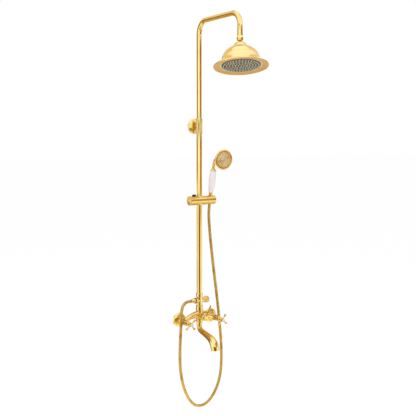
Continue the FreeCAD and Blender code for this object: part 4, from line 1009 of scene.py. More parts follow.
def rod(radius: float, length: float, foot: float = 0.0, head: float = 0.0) -> Profile:
    """Return a solid rod's profile, with a fillet at its foot and one at its head."""
    return rounded([(0.0, 0.0), (radius, 0.0, foot), (radius, length, head), (0.0, length)])


def cylinder(radius: float, start: Vector, way: Vector, length: float, around: int = 96) -> Mesh:
    """Return a plain round tool for cutting and joining."""
    return revolve([(0.0, 0.0), (radius, 0.0), (radius, length), (0.0, length)], start, way, around)


def fluted(count: int, depth: float, low: float, high: float, sharpness: float = 4.0) -> Shaping:
    """Return a radius change that cuts round flutes between two heights.

    Args:
        count: flutes round the axis.
        depth: their depth.
        low: where they start.
        high: where they end.
        sharpness: how narrow a flute is.

    Returns:
        The function for revolve.
    """

    def change(angle: float, radius: float, height: float) -> float:
        """Return the radius at an angle and a height."""
        if not low <= height <= high:
            return radius
        wave = 0.5 + 0.5 * math.cos(count * angle)
        return radius - depth * wave ** sharpness

    return change


def joint_place(name: str) -> Vector:
    """Return a joint's place, in millimetres."""
    return Vector(JOINTS[name]["pos_m"]) / MM


def joint_way(name: str) -> Vector:
    """Return the direction of a joint's axis."""
    return Vector(JOINTS[name]["axis"]).normalized()


def low_of(node: str) -> Vector:
    """Return a node's lowest corner, in millimetres."""
    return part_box(node)[0] / MM


def high_of(node: str) -> Vector:
    """Return a node's highest corner, in millimetres."""
    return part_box(node)[1] / MM


def extent(node: str, axis: str) -> tuple[float, float]:
    """Return where a node starts along an axis and how far it reaches, in millimetres."""
    low = getattr(low_of(node), axis)
    return low, getattr(high_of(node), axis) - low


JOINTS = {joint["name"]: joint for joint in frame["joints"]}
RISER = joint_place("arm_swivel")
BALL = joint_place("head_spin")
HEAD_WAY = joint_way("head_spin")
SLIDER = joint_place("slider_swivel")
SOCKET = joint_place("handset_turn")
HAND_WAY = joint_way("handset_turn")
OUTLET = joint_place("shower_diverter_turn")


def on_riser(height: float) -> Vector:
    """Return the point of the riser's axis at a height."""
    return Vector((RISER.x, RISER.y, height))


def along_hand(distance: float) -> Vector:
    """Return the point on the handset's axis at a distance from the slider's axis."""
    return SOCKET + HAND_WAY * distance


# ---- dressing ----
MATERIALS: dict[str, Material] = {}


def material_of(finish: Finish) -> Material:
    """Return a finish's material, made once."""
    if finish.name not in MATERIALS:
        MATERIALS[finish.name] = finish.build()
    return MATERIALS[finish.name]


def smooth(mesh: Mesh) -> None:
    """Shade a mesh smooth, apart from its sharp edges."""
    mesh.polygons.foreach_set("use_smooth", [True] * len(mesh.polygons))
    mesh.set_sharp_from_angle(angle=SHARP_EDGE)


def dress(finish: Finish, *nodes: str) -> None:
    """Give CAD nodes that are shown as they are their finish.

    Args:
        finish: the finish.
        nodes: the nodes' names.
    """
    for name in nodes:
        mesh = frame["nodes"][name].data
        mesh.materials.clear()
        mesh.materials.append(material_of(finish))


def add(name: str, mesh: Mesh, body: str | None, finish: Finish, *stands_for: str) -> Object:
    """Put a finished mesh in the scene.

    Args:
        name: the piece's name.
        mesh: its mesh, in metres.
        body: the body that it rides on, or None where it runs between two.
        finish: its finish.
        stands_for: the frame's nodes that it replaces.

    Returns:
        The piece.
    """
    mesh.name = name
    smooth(mesh)
    mesh.materials.clear()
    mesh.materials.append(material_of(finish))
    piece = linked(name, mesh)
    if body:
        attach(piece, body)
    if stands_for:
        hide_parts(*stands_for)
    log.info("piece %s, %d faces, %s", name, len(mesh.polygons), finish.name)
    return piece


def turn(name: str, node: str, profile: Profile, origin: Vector, way: Vector, around: int = 128,
         body: str = "root", finish: Finish = POLISHED_GOLD, shape: Shaping | None = None) -> None:
    """Turn a profile round an axis and put it in the scene as the piece that stands for a node."""
    add(name, revolve(profile, origin, way, around, shape), body, finish, node)


# ---- wall bracket ----
@dataclass
class WallBracket:
    """Domed cover, rod and sleeve that hold the riser's top."""

    cover_radius: float = 31.0
    cover_depth: float = 13.0  # the cover's depth from the wall
    rod_radius: float = 5.0
    # Riser's axis back to the rod's hole, and that hole's length.
    rod_seat: tuple[float, float] = (11.7, 4.0)
    sleeve_radius: float = 13.0
    step: float = 42.0  # depth of the riser's seat in the sleeve
    sheet: float = 1.2  # the cover's wall
    screw_radius: float = 2.0  # the grub screws' radius
    drill: float = 9.0  # length of their holes, and riser's axis to their inner ends
    key: float = 1.2  # radius of their hexagon sockets

    def build(self) -> None:
        """Make the bracket's visible pieces and dress its wall plate."""
        self.cover()
        self.rod()
        self.sleeve()
        self.screws()
        dress(STAINLESS, "bracket_wall_plate")

    def axis(self, y: float) -> Vector:
        """Return the point of the rod's axis at a distance from the wall."""
        return Vector((0.0, y, (low_of("bracket_flange").z + high_of("bracket_flange").z) / 2))

    def cover(self) -> None:
        """Pressed cover with a rolled rim and a step round the rod."""
        r, depth = self.cover_radius, self.cover_depth
        hole = self.rod_radius + FIT
        outer = [(r - 0.3, 0.0), (r, 0.3), (r, 1.6), (r - 0.3, 2.4)]
        outer += arc_through(outer[-1], (r * 0.72, depth * 0.72), (hole + 3.0, depth - 0.4), 28)
        outer += [(hole + 2.2, depth - 0.1), (hole + 1.2, depth), (hole, depth)]
        profile = sheet_of(outer, self.sheet)
        turn("bracket_cover", "bracket_flange", profile, self.axis(0.0), FRONT, finish=SOFT_GOLD)

    def rod(self) -> None:
        """Rod from the wall plate to the sleeve."""
        back, front = high_of("bracket_arm").y, low_of("bracket_arm").y
        profile = rod(self.rod_radius, back - front, 0.5, 0.2)
        turn("bracket_rod", "bracket_arm", profile, self.axis(back), FRONT, 64)

    def screw_heights(self) -> list[float]:
        """Return the heights of the grub screws' axes."""
        low, high = low_of("sleeve_grub_screws").z, high_of("sleeve_grub_screws").z
        return [low + self.screw_radius, high - self.screw_radius]

    def sleeve(self) -> None:
        """Turned sleeve with rolled ends, a seat for the riser and two screw holes."""
        low, length = extent("bracket_sleeve", "z")
        r, seat, bore = self.sleeve_radius, RISER_RADIUS + FIT, ARM_RADIUS + FIT
        profile = rounded([(seat, 0.0, 0.3), (r, 0.0, 1.5), (r, length, 1.5), (bore, length, 0.3),
                           (bore, self.step), (seat, self.step)])
        screw, drill = self.screw_radius + FIT, self.drill
        holes = [cylinder(screw, on_riser(height) + RIGHT * drill, RIGHT, drill, 32)
                 for height in self.screw_heights()]
        seat_y, reach = self.rod_seat
        holes.append(cylinder(self.rod_radius + FIT, self.axis(RISER.y + seat_y), BACK, reach, 48))
        mesh = carved(revolve(profile, on_riser(low), UP, 192), *holes)
        add("bracket_sleeve_tube", mesh, "root", POLISHED_GOLD, "bracket_sleeve")

    def screws(self) -> None:
        """Two socket grub screws in the sleeve's right side."""
        inner, length = extent("sleeve_grub_screws", "x")
        screws = []
        for height in self.screw_heights():
            start = Vector((inner, RISER.y, height))
            body = revolve(rod(self.screw_radius, length, 0.0, 0.3), start, RIGHT, 32)
            screws.append(carved(body, cylinder(self.key, start + RIGHT * (length - 1.0), RIGHT, 2.0, 6)))
        add("grub_screws", merged(screws), "root", STAINLESS, "sleeve_grub_screws")


# ---- riser and overhead arm ----
@dataclass
class RiserAndArm:
    """The riser pipe, the arm pipe that slides in it, and the swivel at the arm's end."""

    wall: float = 1.0  # the pipes' wall
    bend: float = 50.0  # bend radius of the arm's axis
    nut_radius: float = 12.5  # the swivel nut's largest radius
    ball_radius: float = 8.5
    neck_radius: float = 4.2  # the ball's neck
    stem_radius: float = 6.0  # the threaded stem
    stem_start: float = 10.8  # ball's centre to the stem's start
    stem_end: float = 24.8  # ball's centre to the stem's end
    stem_bore: float = 2.8  # the waterway through the stem

    def build(self) -> None:
        """Make both pipes, the swivel nut and the ball."""
        self.riser()
        self.arm()
        self.nut()
        self.ball()
        dress(POLISHED_GOLD, "arm_end_nipple")
        dress(NATURAL_NYLON, "ball_seat_cup")
        dress(TURNED_BRASS, "telescope_guide")
        dress(BLACK_RUBBER, "telescope_o_rings")

    def riser(self) -> None:
        """Lower pipe."""
        low, length = extent("riser_pipe", "z")
        r, bore, edge = RISER_RADIUS, ARM_RADIUS + FIT, 0.2
        profile = rounded([(bore, 0.0, edge), (r, 0.0, edge), (r, length, edge), (bore, length, edge)], 3)
        turn("riser_tube", "riser_pipe", profile, on_riser(low), UP)

    def arm(self) -> None:
        """Upper pipe, bent twice."""
        reach = Vector((RISER.x, BALL.y, high_of("swivel_nut").z))
        corner = Vector((RISER.x, BALL.y, high_of("gooseneck_pipe").z - ARM_RADIUS))
        line = bent([on_riser(low_of("gooseneck_pipe").z), on_riser(corner.z), corner, reach], self.bend, 48)
        add("overhead_arm_tube", sweep(line, ARM_RADIUS, 128, self.wall), "overhead_arm", POLISHED_GOLD,
            "gooseneck_pipe")

    def nut(self) -> None:
        """Swivel nut with a collar, a waist and a rounded skirt round the ball."""
        top = high_of("swivel_nut").z - BALL.z
        r, pipe = self.nut_radius, ARM_RADIUS
        bore = pipe - self.wall + FIT
        outer: Profile = [(bore, top), (pipe + 0.6, top, 0.7), (pipe + 0.6, top - 5.0, 0.6),
                          (pipe + 0.1, top - 6.0, 0.4), (pipe + 0.4, top - 8.5)]
        outer += arc_through(outer[-1], (r, 4.5), (r - 0.6, 0.5), 14)
        outer += arc_through(outer[-1], (r - 2.2, -4.4), (7.6, -7.0), 10)
        ball = self.ball_radius + FIT
        inner = [(6.4, -5.66), (ball * 0.94, -ball * 0.343), (ball, 0.0), (10.05, 0.0), (8.9, 4.7),
                 (7.1, 7.1), (5.03, 8.7), (5.03, top - 9.0), (bore, top - 9.0)]
        turn("swivel_socket", "swivel_nut", rounded(outer + inner, 4), BALL, UP, body="overhead_arm")

    def ball(self) -> None:
        """Ball with its neck and stem."""
        r, neck, stem, bore = self.ball_radius, self.neck_radius, self.stem_radius, self.stem_bore
        low = (bore, -math.sqrt(r * r - bore * bore))
        profile = [low] + arc_through(low, (r, 0.0), (neck, math.sqrt(r * r - neck * neck)), 32)
        start, end = self.stem_start, self.stem_end
        profile += [(neck, start), (stem, start), (stem, end), (bore, end)]
        turn("swivel_ball", "ball_connector", profile, BALL, HEAD_WAY, 96, "ball")


# ---- overhead shower ----
@dataclass
class OverheadShower:
    """Bell with two domes and a flared brim, and the face with its nozzles."""

    rim_radius: float = 101.45  # the brim's radius
    depth: float = 104.0  # ball's centre to the rim
    face_radius: float = 72.0  # the nozzle plate's radius
    face_inset: float = 4.0  # the rim to the nozzle plate's face
    cap_radius: float = 27.0  # the small dome's radius
    dome_radius: float = 70.0  # the main dome's radius
    flare: float = 0.27  # share of the brim's width at the middle of its curve
    stem_radius: float = 6.0
    top: float = 11.2  # ball's centre to the bell's top
    sheet: float = 1.2  # the bell's wall
    plate: float = 2.5  # the nozzle plate's thickness
    ring_width: float = 6.5  # the pale ring's width
    lip: float = 2.0  # height of the under ring's inner lip
    rings: int = 6  # rings of nozzles round the middle one
    pitch: float = 10.8  # from ring to ring
    nozzle_radius: float = 2.7  # a nozzle's radius at its foot
    nozzle_height: float = 4.0  # how far a nozzle stands out

    def build(self) -> None:
        """Make the bell and the face."""
        self.bell()
        self.under_ring()
        self.retaining_ring()
        self.nozzles()
        # The nozzle plate's dark olive is painted shade.
        dress(SHADED_PLATE_STEEL, "head_nozzle_plate")
        dress(STAINLESS, "head_lock_nut")

    def on_stem(self, name: str, node: str, profile: Profile, finish: Finish) -> None:
        """Turn a profile round the head's axis, from the ball's centre down."""
        turn(name, node, profile, BALL, HEAD_WAY, 192, "overhead_shower", finish)

    def bell(self) -> None:
        """Pressed bell with a rolled rim, whose sheet stays open where the brim is rolled."""
        cap, dome, rim, top, foot = self.cap_radius, self.dome_radius, self.rim_radius, self.top, self.depth
        outer = [(self.stem_radius + FIT, top), (9.0, top)]
        outer += arc_through(outer[-1], (cap * 0.78, top + 6.2), (cap, 29.0), 24)
        outer += [(cap - 0.3, 29.6), (cap - 1.2, 30.2), (cap - 0.2, 30.7), (cap + 2.2, 31.5)]
        outer += arc_through(outer[-1], (dome * 0.82, 47.1), (dome, 75.0), 40)
        outer += arc_through(outer[-1], (dome + self.flare * (rim - dome), 90.5), (rim - 3.0, foot - 4.5), 28)
        pressed = len(outer) - 1
        outer += arc_through(outer[-1], (rim - 0.2, foot - 3.2), (rim, foot - 1.6), 8)
        outer += [(rim - 0.3, foot - 0.5), (rim - 0.8, foot)]
        inner = sheet_of(outer[:pressed], self.sheet)[pressed:]
        rolled = [(rim - 2.4, foot), (rim - 3.1, foot - 0.6), (rim - 3.1, foot - 3.2)]
        self.on_stem("overhead_bell", "head_shell", outer + rolled + inner, POLISHED_GOLD)

    def under_ring(self) -> None:
        """Satin annulus under the brim, with a raised bead at its inner edge."""
        inner, outer = self.face_radius + self.ring_width, self.rim_radius - 3.2
        low, high = self.depth - 0.8, self.depth - 3.4
        end = high - self.sheet - self.lip
        profile = rounded([(inner, high, 0.5), (outer, low, 0.4), (outer, low - self.sheet),
                           (inner + self.sheet, high - self.sheet), (inner + self.sheet, end), (inner, end)])
        self.on_stem("brim_underside", "head_under_ring", profile, SATIN_GOLD)

    def retaining_ring(self) -> None:
        """Pale ring round the nozzle plate."""
        inner = self.face_radius + FIT
        outer = self.face_radius + self.ring_width - FIT
        face = self.depth - self.face_inset
        profile = rounded([(inner, face - 4.0), (outer, face - 4.0), (outer, face + 0.4, 0.8),
                           (inner, face - 0.6, 0.4)])
        self.on_stem("face_ring", "head_retaining_ring", profile, PALE_PLATE)

    def nozzles(self) -> None:
        """Rubber nozzles, each with a rolled foot and a pierced tip."""
        r, plate = self.nozzle_radius, self.plate
        end = plate + self.nozzle_height
        tip = revolve([(0.0, 0.0), (r, 0.0), (r, plate), (r * 1.05, plate + 0.4), (r * 0.84, plate + 1.0),
                       (r * 0.62, end - 0.5), (r * 0.52, end), (r * 0.26, end), (r * 0.2, end - 0.9),
                       (0.0, end - 0.9)], ORIGIN, UP, 20)
        back = UP * (self.depth - self.face_inset - plate)
        places = [place + back for place in nozzle_places(self.rings, self.pitch)]
        mesh = repeated(tip, BALL, HEAD_WAY, places)
        add("overhead_nozzles", mesh, "overhead_shower", GREY_SILICONE, "head_nozzles")


# ---- slider and handset holder ----
@dataclass(frozen=True)
class Taper:
    """The cone of the handset's nut, which sits in the holder's socket."""

    low: float = 7.2  # its radius at its foot
    high: float = 8.2  # its radius at its top
    below: float = 15.0  # slider's axis down to its foot
    above: float = 22.0  # slider's axis up to its top


TAPER = Taper()


@dataclass
class Slider:
    """Barrel that runs on the riser, with its brake's tab, and the turning holder at its end."""

    radius: float = 18.5  # the barrel's radius
    left: float = 46.0  # riser's axis to the barrel's left end
    right: float = 30.95  # riser's axis to the barrel's right end
    bore: float = 11.3  # radius of the riser's bore
    liner: float = 13.0  # radius of the liner's seat
    liner_half: float = 16.55  # half of that seat's height
    cavity: float = 11.0  # radius of the brake's cavity
    cavity_end: float = 17.5  # riser's axis to the cavity's inner end
    cap: float = 3.5  # the end cap's thickness
    holder_radius: float = 18.0
    pivot: float = 5.05  # radius of the pivot bolt's hole
    pivot_start: float = 14.0  # riser's axis to that hole's start
    tab_room: float = 0.3  # gap round the release tab
    ridges: int = 5  # grooves across the tab
    ridge_pitch: float = 2.4  # from groove to groove

    def build(self) -> None:
        """Make the barrel, its cap, the tab and the holder."""
        self.barrel()
        self.end_cap()
        self.tab()
        self.holder()
        dress(NATURAL_NYLON, "slider_bush", "brake_shoe")
        dress(STAINLESS, "brake_spring")
        dress(POLISHED_GOLD, "holder_pivot_bolt")

    def barrel(self) -> None:
        """Barrel with its bores and the tab's slot."""
        start = SLIDER + LEFT * self.left
        body = revolve(rod(self.radius, self.left + self.right, 0.5, 0.5), start, RIGHT, 256)
        low, high = low_of("release_button"), high_of("release_button")
        room = self.tab_room
        tools = [cylinder(self.bore, SLIDER - UP * 25.0, UP, 50.0, 128),
                 cylinder(self.liner, SLIDER - UP * self.liner_half, UP, 2 * self.liner_half, 128),
                 cylinder(self.cavity, start + LEFT, RIGHT, self.left - self.cavity_end + 1.0, 96),
                 block(low - Vector((room, room, 4.0)), high + Vector((room, room, 2.0)), 0.8),
                 cylinder(self.pivot, SLIDER + RIGHT * self.pivot_start, RIGHT, 30.0, 64)]
        add("slider_barrel", carved(body, *tools), "slider", POLISHED_GOLD, "slider_body")

    def end_cap(self) -> None:
        """Polished cap with a rolled edge, a fine groove and a slightly raised face."""
        r, thick, plug = self.radius, self.cap, self.cavity - FIT
        profile = rounded([(0.0, 0.0), (plug - 2.0, 0.0), (plug - 2.0, -3.0), (plug, -3.0), (plug, 0.15),
                           (r - 0.5, 0.15, 0.1), (r - 0.5, 0.6, 0.1), (r, 0.7, 0.2), (r, thick, 1.2),
                           (r * 0.72, thick + 0.1), (r * 0.4, thick + 0.35), (0.0, thick + 0.5)])
        turn("slider_cap", "slider_end_cap", profile, SLIDER + LEFT * self.left, LEFT, 192, "slider")

    def tab(self) -> None:
        """Release tab with rounded edges and grip ridges on its top."""
        low, high = low_of("release_button"), high_of("release_button")
        tab = block(low, high, 1.2)
        grooves = []
        for index in range(self.ridges):
            x = (low.x + high.x) / 2 + (index - (self.ridges - 1) / 2) * self.ridge_pitch
            start = Vector((x, low.y - 1.0, high.z + 0.15))
            grooves.append(cylinder(0.55, start, BACK, high.y - low.y + 2.0, 20))
        add("release_tab", carved(tab, *grooves), "button", BLACK_PLASTIC, "release_button")

    def holder(self) -> None:
        """Turning end of the slider with the handset's tapered socket."""
        left, length = extent("handset_holder", "x")
        start = Vector((left, SLIDER.y, SLIDER.z))
        r = self.holder_radius
        body = revolve(rounded([(0.0, 0.0), (r, 0.0, 0.5), (r, length - 0.6, 1.5), (r * 0.72, length - 0.5),
                                (r * 0.4, length - 0.2), (0.0, length)]), start, RIGHT, 256)
        slope = (TAPER.high - TAPER.low) / (TAPER.below + TAPER.above)
        reach = 30.0
        middle = TAPER.low + slope * TAPER.below + FIT
        cone = revolve([(0.0, -reach), (middle - slope * reach, -reach), (middle + slope * reach, reach),
                        (0.0, reach)], SOCKET, HAND_WAY, 128)
        pivot = cylinder(self.pivot, start + LEFT, RIGHT, PAST, 64)
        add("handset_socket", carved(body, cone, pivot), "holder", POLISHED_GOLD, "handset_holder")


# ---- handset ----
@dataclass
class Handset:
    """Telephone-style handset: tapered nut, ferrule, porcelain grip, neck and round face."""

    nut_plug: float = 8.0  # depth of the tie tube in the nut
    grip_start: float = 33.0  # slider's axis to the grip's foot
    grip_length: float = 91.0
    collar_length: float = 9.0
    tube: float = 5.5  # radius of the tie tube
    bore: float = 3.8  # radius of the waterway
    neck: float = 6.3  # the neck's radius
    neck_wall: float = 1.2
    neck_bend: float = 30.0  # its bend radius
    neck_straight: float = 18.0  # straight run before the bend
    neck_level: float = 9.5  # straight run after it
    dip: float = 4.0  # how far the face looks down, in degrees
    face: float = 40.0  # the face's radius
    rim: float = 5.0  # the rim's width round the plate
    bell_depth: float = 34.0
    plate: float = 2.5  # the face plate's thickness
    plate_inset: float = 1.4  # the rim to the plate
    rings: int = 4  # rings of nozzles round the middle one
    pitch: float = 7.0  # from ring to ring
    nozzle: float = 1.3  # a nozzle's radius
    band: float = 1.45  # half the width of the band under a ring of nozzles

    def build(self) -> None:
        """Make the handset from its nut up."""
        self.cone_nut()
        self.tie_tube()
        self.grip()
        self.collar()
        self.neck_tube()
        self.bell()
        self.face_plate()
        self.nozzles()

    def cone_nut(self) -> None:
        """Tapered nut on the hose's end, with a bead at its foot."""
        length, bore, socket = TAPER.below + TAPER.above, self.bore, self.tube + FIT
        profile = rounded([(bore, 0.0), (TAPER.low, 0.0, 0.6), (TAPER.high, length, 0.6), (socket, length),
                           (socket, length - self.nut_plug), (bore, length - self.nut_plug)])
        turn("hose_end_nut", "hose_cone_nut", profile, along_hand(-TAPER.below), HAND_WAY, body="hose_end")

    def tie_tube(self) -> None:
        """Tube through the grip, with the flared ferrule under it."""
        bore, tube, grip = self.bore, self.tube, self.grip_start
        start = TAPER.above + 0.3
        low, top = TAPER.above - 7.4, grip + self.grip_length - 0.3
        flare = rounded([(bore, low), (tube, low, 0.4), (tube, start - 0.01), (7.0, start, 0.4),
                         (6.9, start + 1.6, 0.8), (7.1, start + 4.5, 3.0), (8.3, grip - 2.6, 1.5),
                         (9.3, grip - 1.2, 0.4), (9.3, grip, 0.3), (tube, grip), (tube, top), (bore, top)])
        turn("grip_ferrule", "handset_tie_tube", flare, SOCKET, HAND_WAY, 96, "handset")

    def grip(self) -> None:
        """Porcelain barrel, fullest a little above its middle, with a soft bead at each end."""
        bore = self.tube + FIT
        outline = flowing([(9.2, 0.0), (9.9, 0.9), (10.4, 3.0), (10.1, 6.0), (11.0, 12.0), (12.5, 22.0),
                           (13.3, 32.0), (13.7, 44.0), (13.7, 52.0), (13.55, 62.0), (13.15, 74.0),
                           (12.2, 84.5), (12.35, 87.2), (12.2, 89.6), (11.5, self.grip_length)], 6)
        turn("porcelain_grip", "handset_ceramic_grip", [(bore, 0.0)] + outline + [(bore, self.grip_length)],
             along_hand(self.grip_start), HAND_WAY, body="handset", finish=GLAZED_PORCELAIN)

    def collar(self) -> None:
        """Flared collar between the grip and the neck."""
        bore, length = self.neck - self.neck_wall, self.collar_length
        profile = rounded([(bore, 0.0), (10.8, 0.0, 0.5), (11.2, 1.6, 0.7), (10.5, 3.2, 0.8), (8.2, 4.6, 1.2),
                           (7.0, 7.0, 1.0), (6.8, length, 0.3), (bore, length)])
        start = along_hand(self.grip_start + self.grip_length)
        turn("neck_collar", "handset_collar", profile, start, HAND_WAY, body="handset")

    def face_way(self) -> Vector:
        """Return the way the face looks."""
        dip = math.radians(self.dip)
        return Vector((0.0, -math.cos(dip), -math.sin(dip)))

    def neck_line(self) -> list[Vector]:
        """Return the neck's start, corner and end."""
        start = self.grip_start + self.grip_length + self.collar_length
        reach = self.neck_bend * math.tan(HAND_WAY.angle(self.face_way()) / 2)
        corner = along_hand(start + self.neck_straight + reach)
        return [along_hand(start), corner, corner + self.face_way() * (reach + self.neck_level)]

    def neck_tube(self) -> None:
        """Curved tube from the collar to the bell."""
        mesh = sweep(bent(self.neck_line(), self.neck_bend, 40), self.neck, 96, self.neck_wall)
        add("handset_neck_tube", mesh, "handset", POLISHED_GOLD, "handset_neck")

    def on_face(self, name: str, node: str, profile: Profile) -> None:
        """Turn a profile round the face's axis, forward from the neck's end."""
        turn(name, node, profile, self.neck_line()[2], self.face_way(), 160, "handset")

    def bell(self) -> None:
        """Bell with a rolled rim and a dark step in front of the plate."""
        r, depth = self.face, self.bell_depth
        bore = self.neck - self.neck_wall
        seat = depth - self.plate_inset - self.plate
        plate = r - self.rim
        outer = [(bore, 0.0), (self.neck + 0.6, 0.0)]
        outer += arc_through(outer[-1], (self.neck + 3.4, depth * 0.2), (r * 0.56, depth * 0.42), 20)
        outer += arc_through(outer[-1], (r * 0.86, depth * 0.62), (r, depth - 3.4), 24)
        outer += arc_through(outer[-1], (r - 0.9, depth - 0.9), (r - 3.0, depth), 12)
        outer += [(r - 4.0, depth - 0.2), (plate + 0.35, depth - 0.7), (plate + FIT, depth - 1.2),
                  (plate + FIT, seat), (plate - 2.0, seat)]
        outer += arc_through(outer[-1], (r * 0.72, depth * 0.66), (r * 0.45, depth * 0.42 + 1.8), 12)
        outer += [(bore, depth * 0.3)]
        self.on_face("handset_bell", "handset_head_shell", outer)

    def face_plate(self) -> None:
        """Face with raised rings between its rings of nozzles and a dished middle."""
        r, pitch = self.face - self.rim, self.pitch
        top = self.bell_depth - self.plate_inset
        seat = top - self.plate
        profile = [(0.0, seat), (r, seat), (r, top - 0.3), (r - 0.3, top), (self.rings * pitch + 3.4, top)]
        for ring in range(self.rings, 0, -1):
            jets, ridge = ring * pitch, (ring - 0.5) * pitch
            profile += [(jets + 2.2, top - 0.05), (jets + 1.6, top - 0.5), (jets - 1.6, top - 0.5),
                        (jets - 2.2, top), (ridge + 0.5, top + 0.25), (ridge - 0.5, top + 0.25)]
        profile += [(1.9, top - 0.1), (1.6, top - 0.5), (0.0, top - 0.5)]
        self.on_face("handset_face", "handset_face_plate", profile)

    def nozzles(self) -> None:
        """Small grey nozzles with pierced tips, each ring of them on one soft band."""
        r, end = self.nozzle, self.bell_depth
        start = end - self.plate_inset - 0.6
        centre, way = self.neck_line()[2], self.face_way()
        jet = [(0.0, start), (r * 1.15, start), (r * 1.1, start + 0.5), (r * 0.85, end - 0.2), (r * 0.7, end),
               (r * 0.35, end), (r * 0.3, end - 0.7), (0.0, end - 0.7)]
        tip = revolve(jet, ORIGIN, UP, 16)
        meshes = [repeated(tip, centre, way, nozzle_places(self.rings, self.pitch))]
        for ring in range(1, self.rings + 1):
            inner, outer = ring * self.pitch - self.band, ring * self.pitch + self.band
            profile = rounded([(inner, start - 0.3), (outer, start - 0.3), (outer, start + 0.35, 0.2),
                               (inner, start + 0.35, 0.2)], 3)
            meshes.append(revolve(profile, centre, way, 128))
        add("handset_jets", merged(meshes), "handset", GREY_SILICONE, "handset_nozzles")


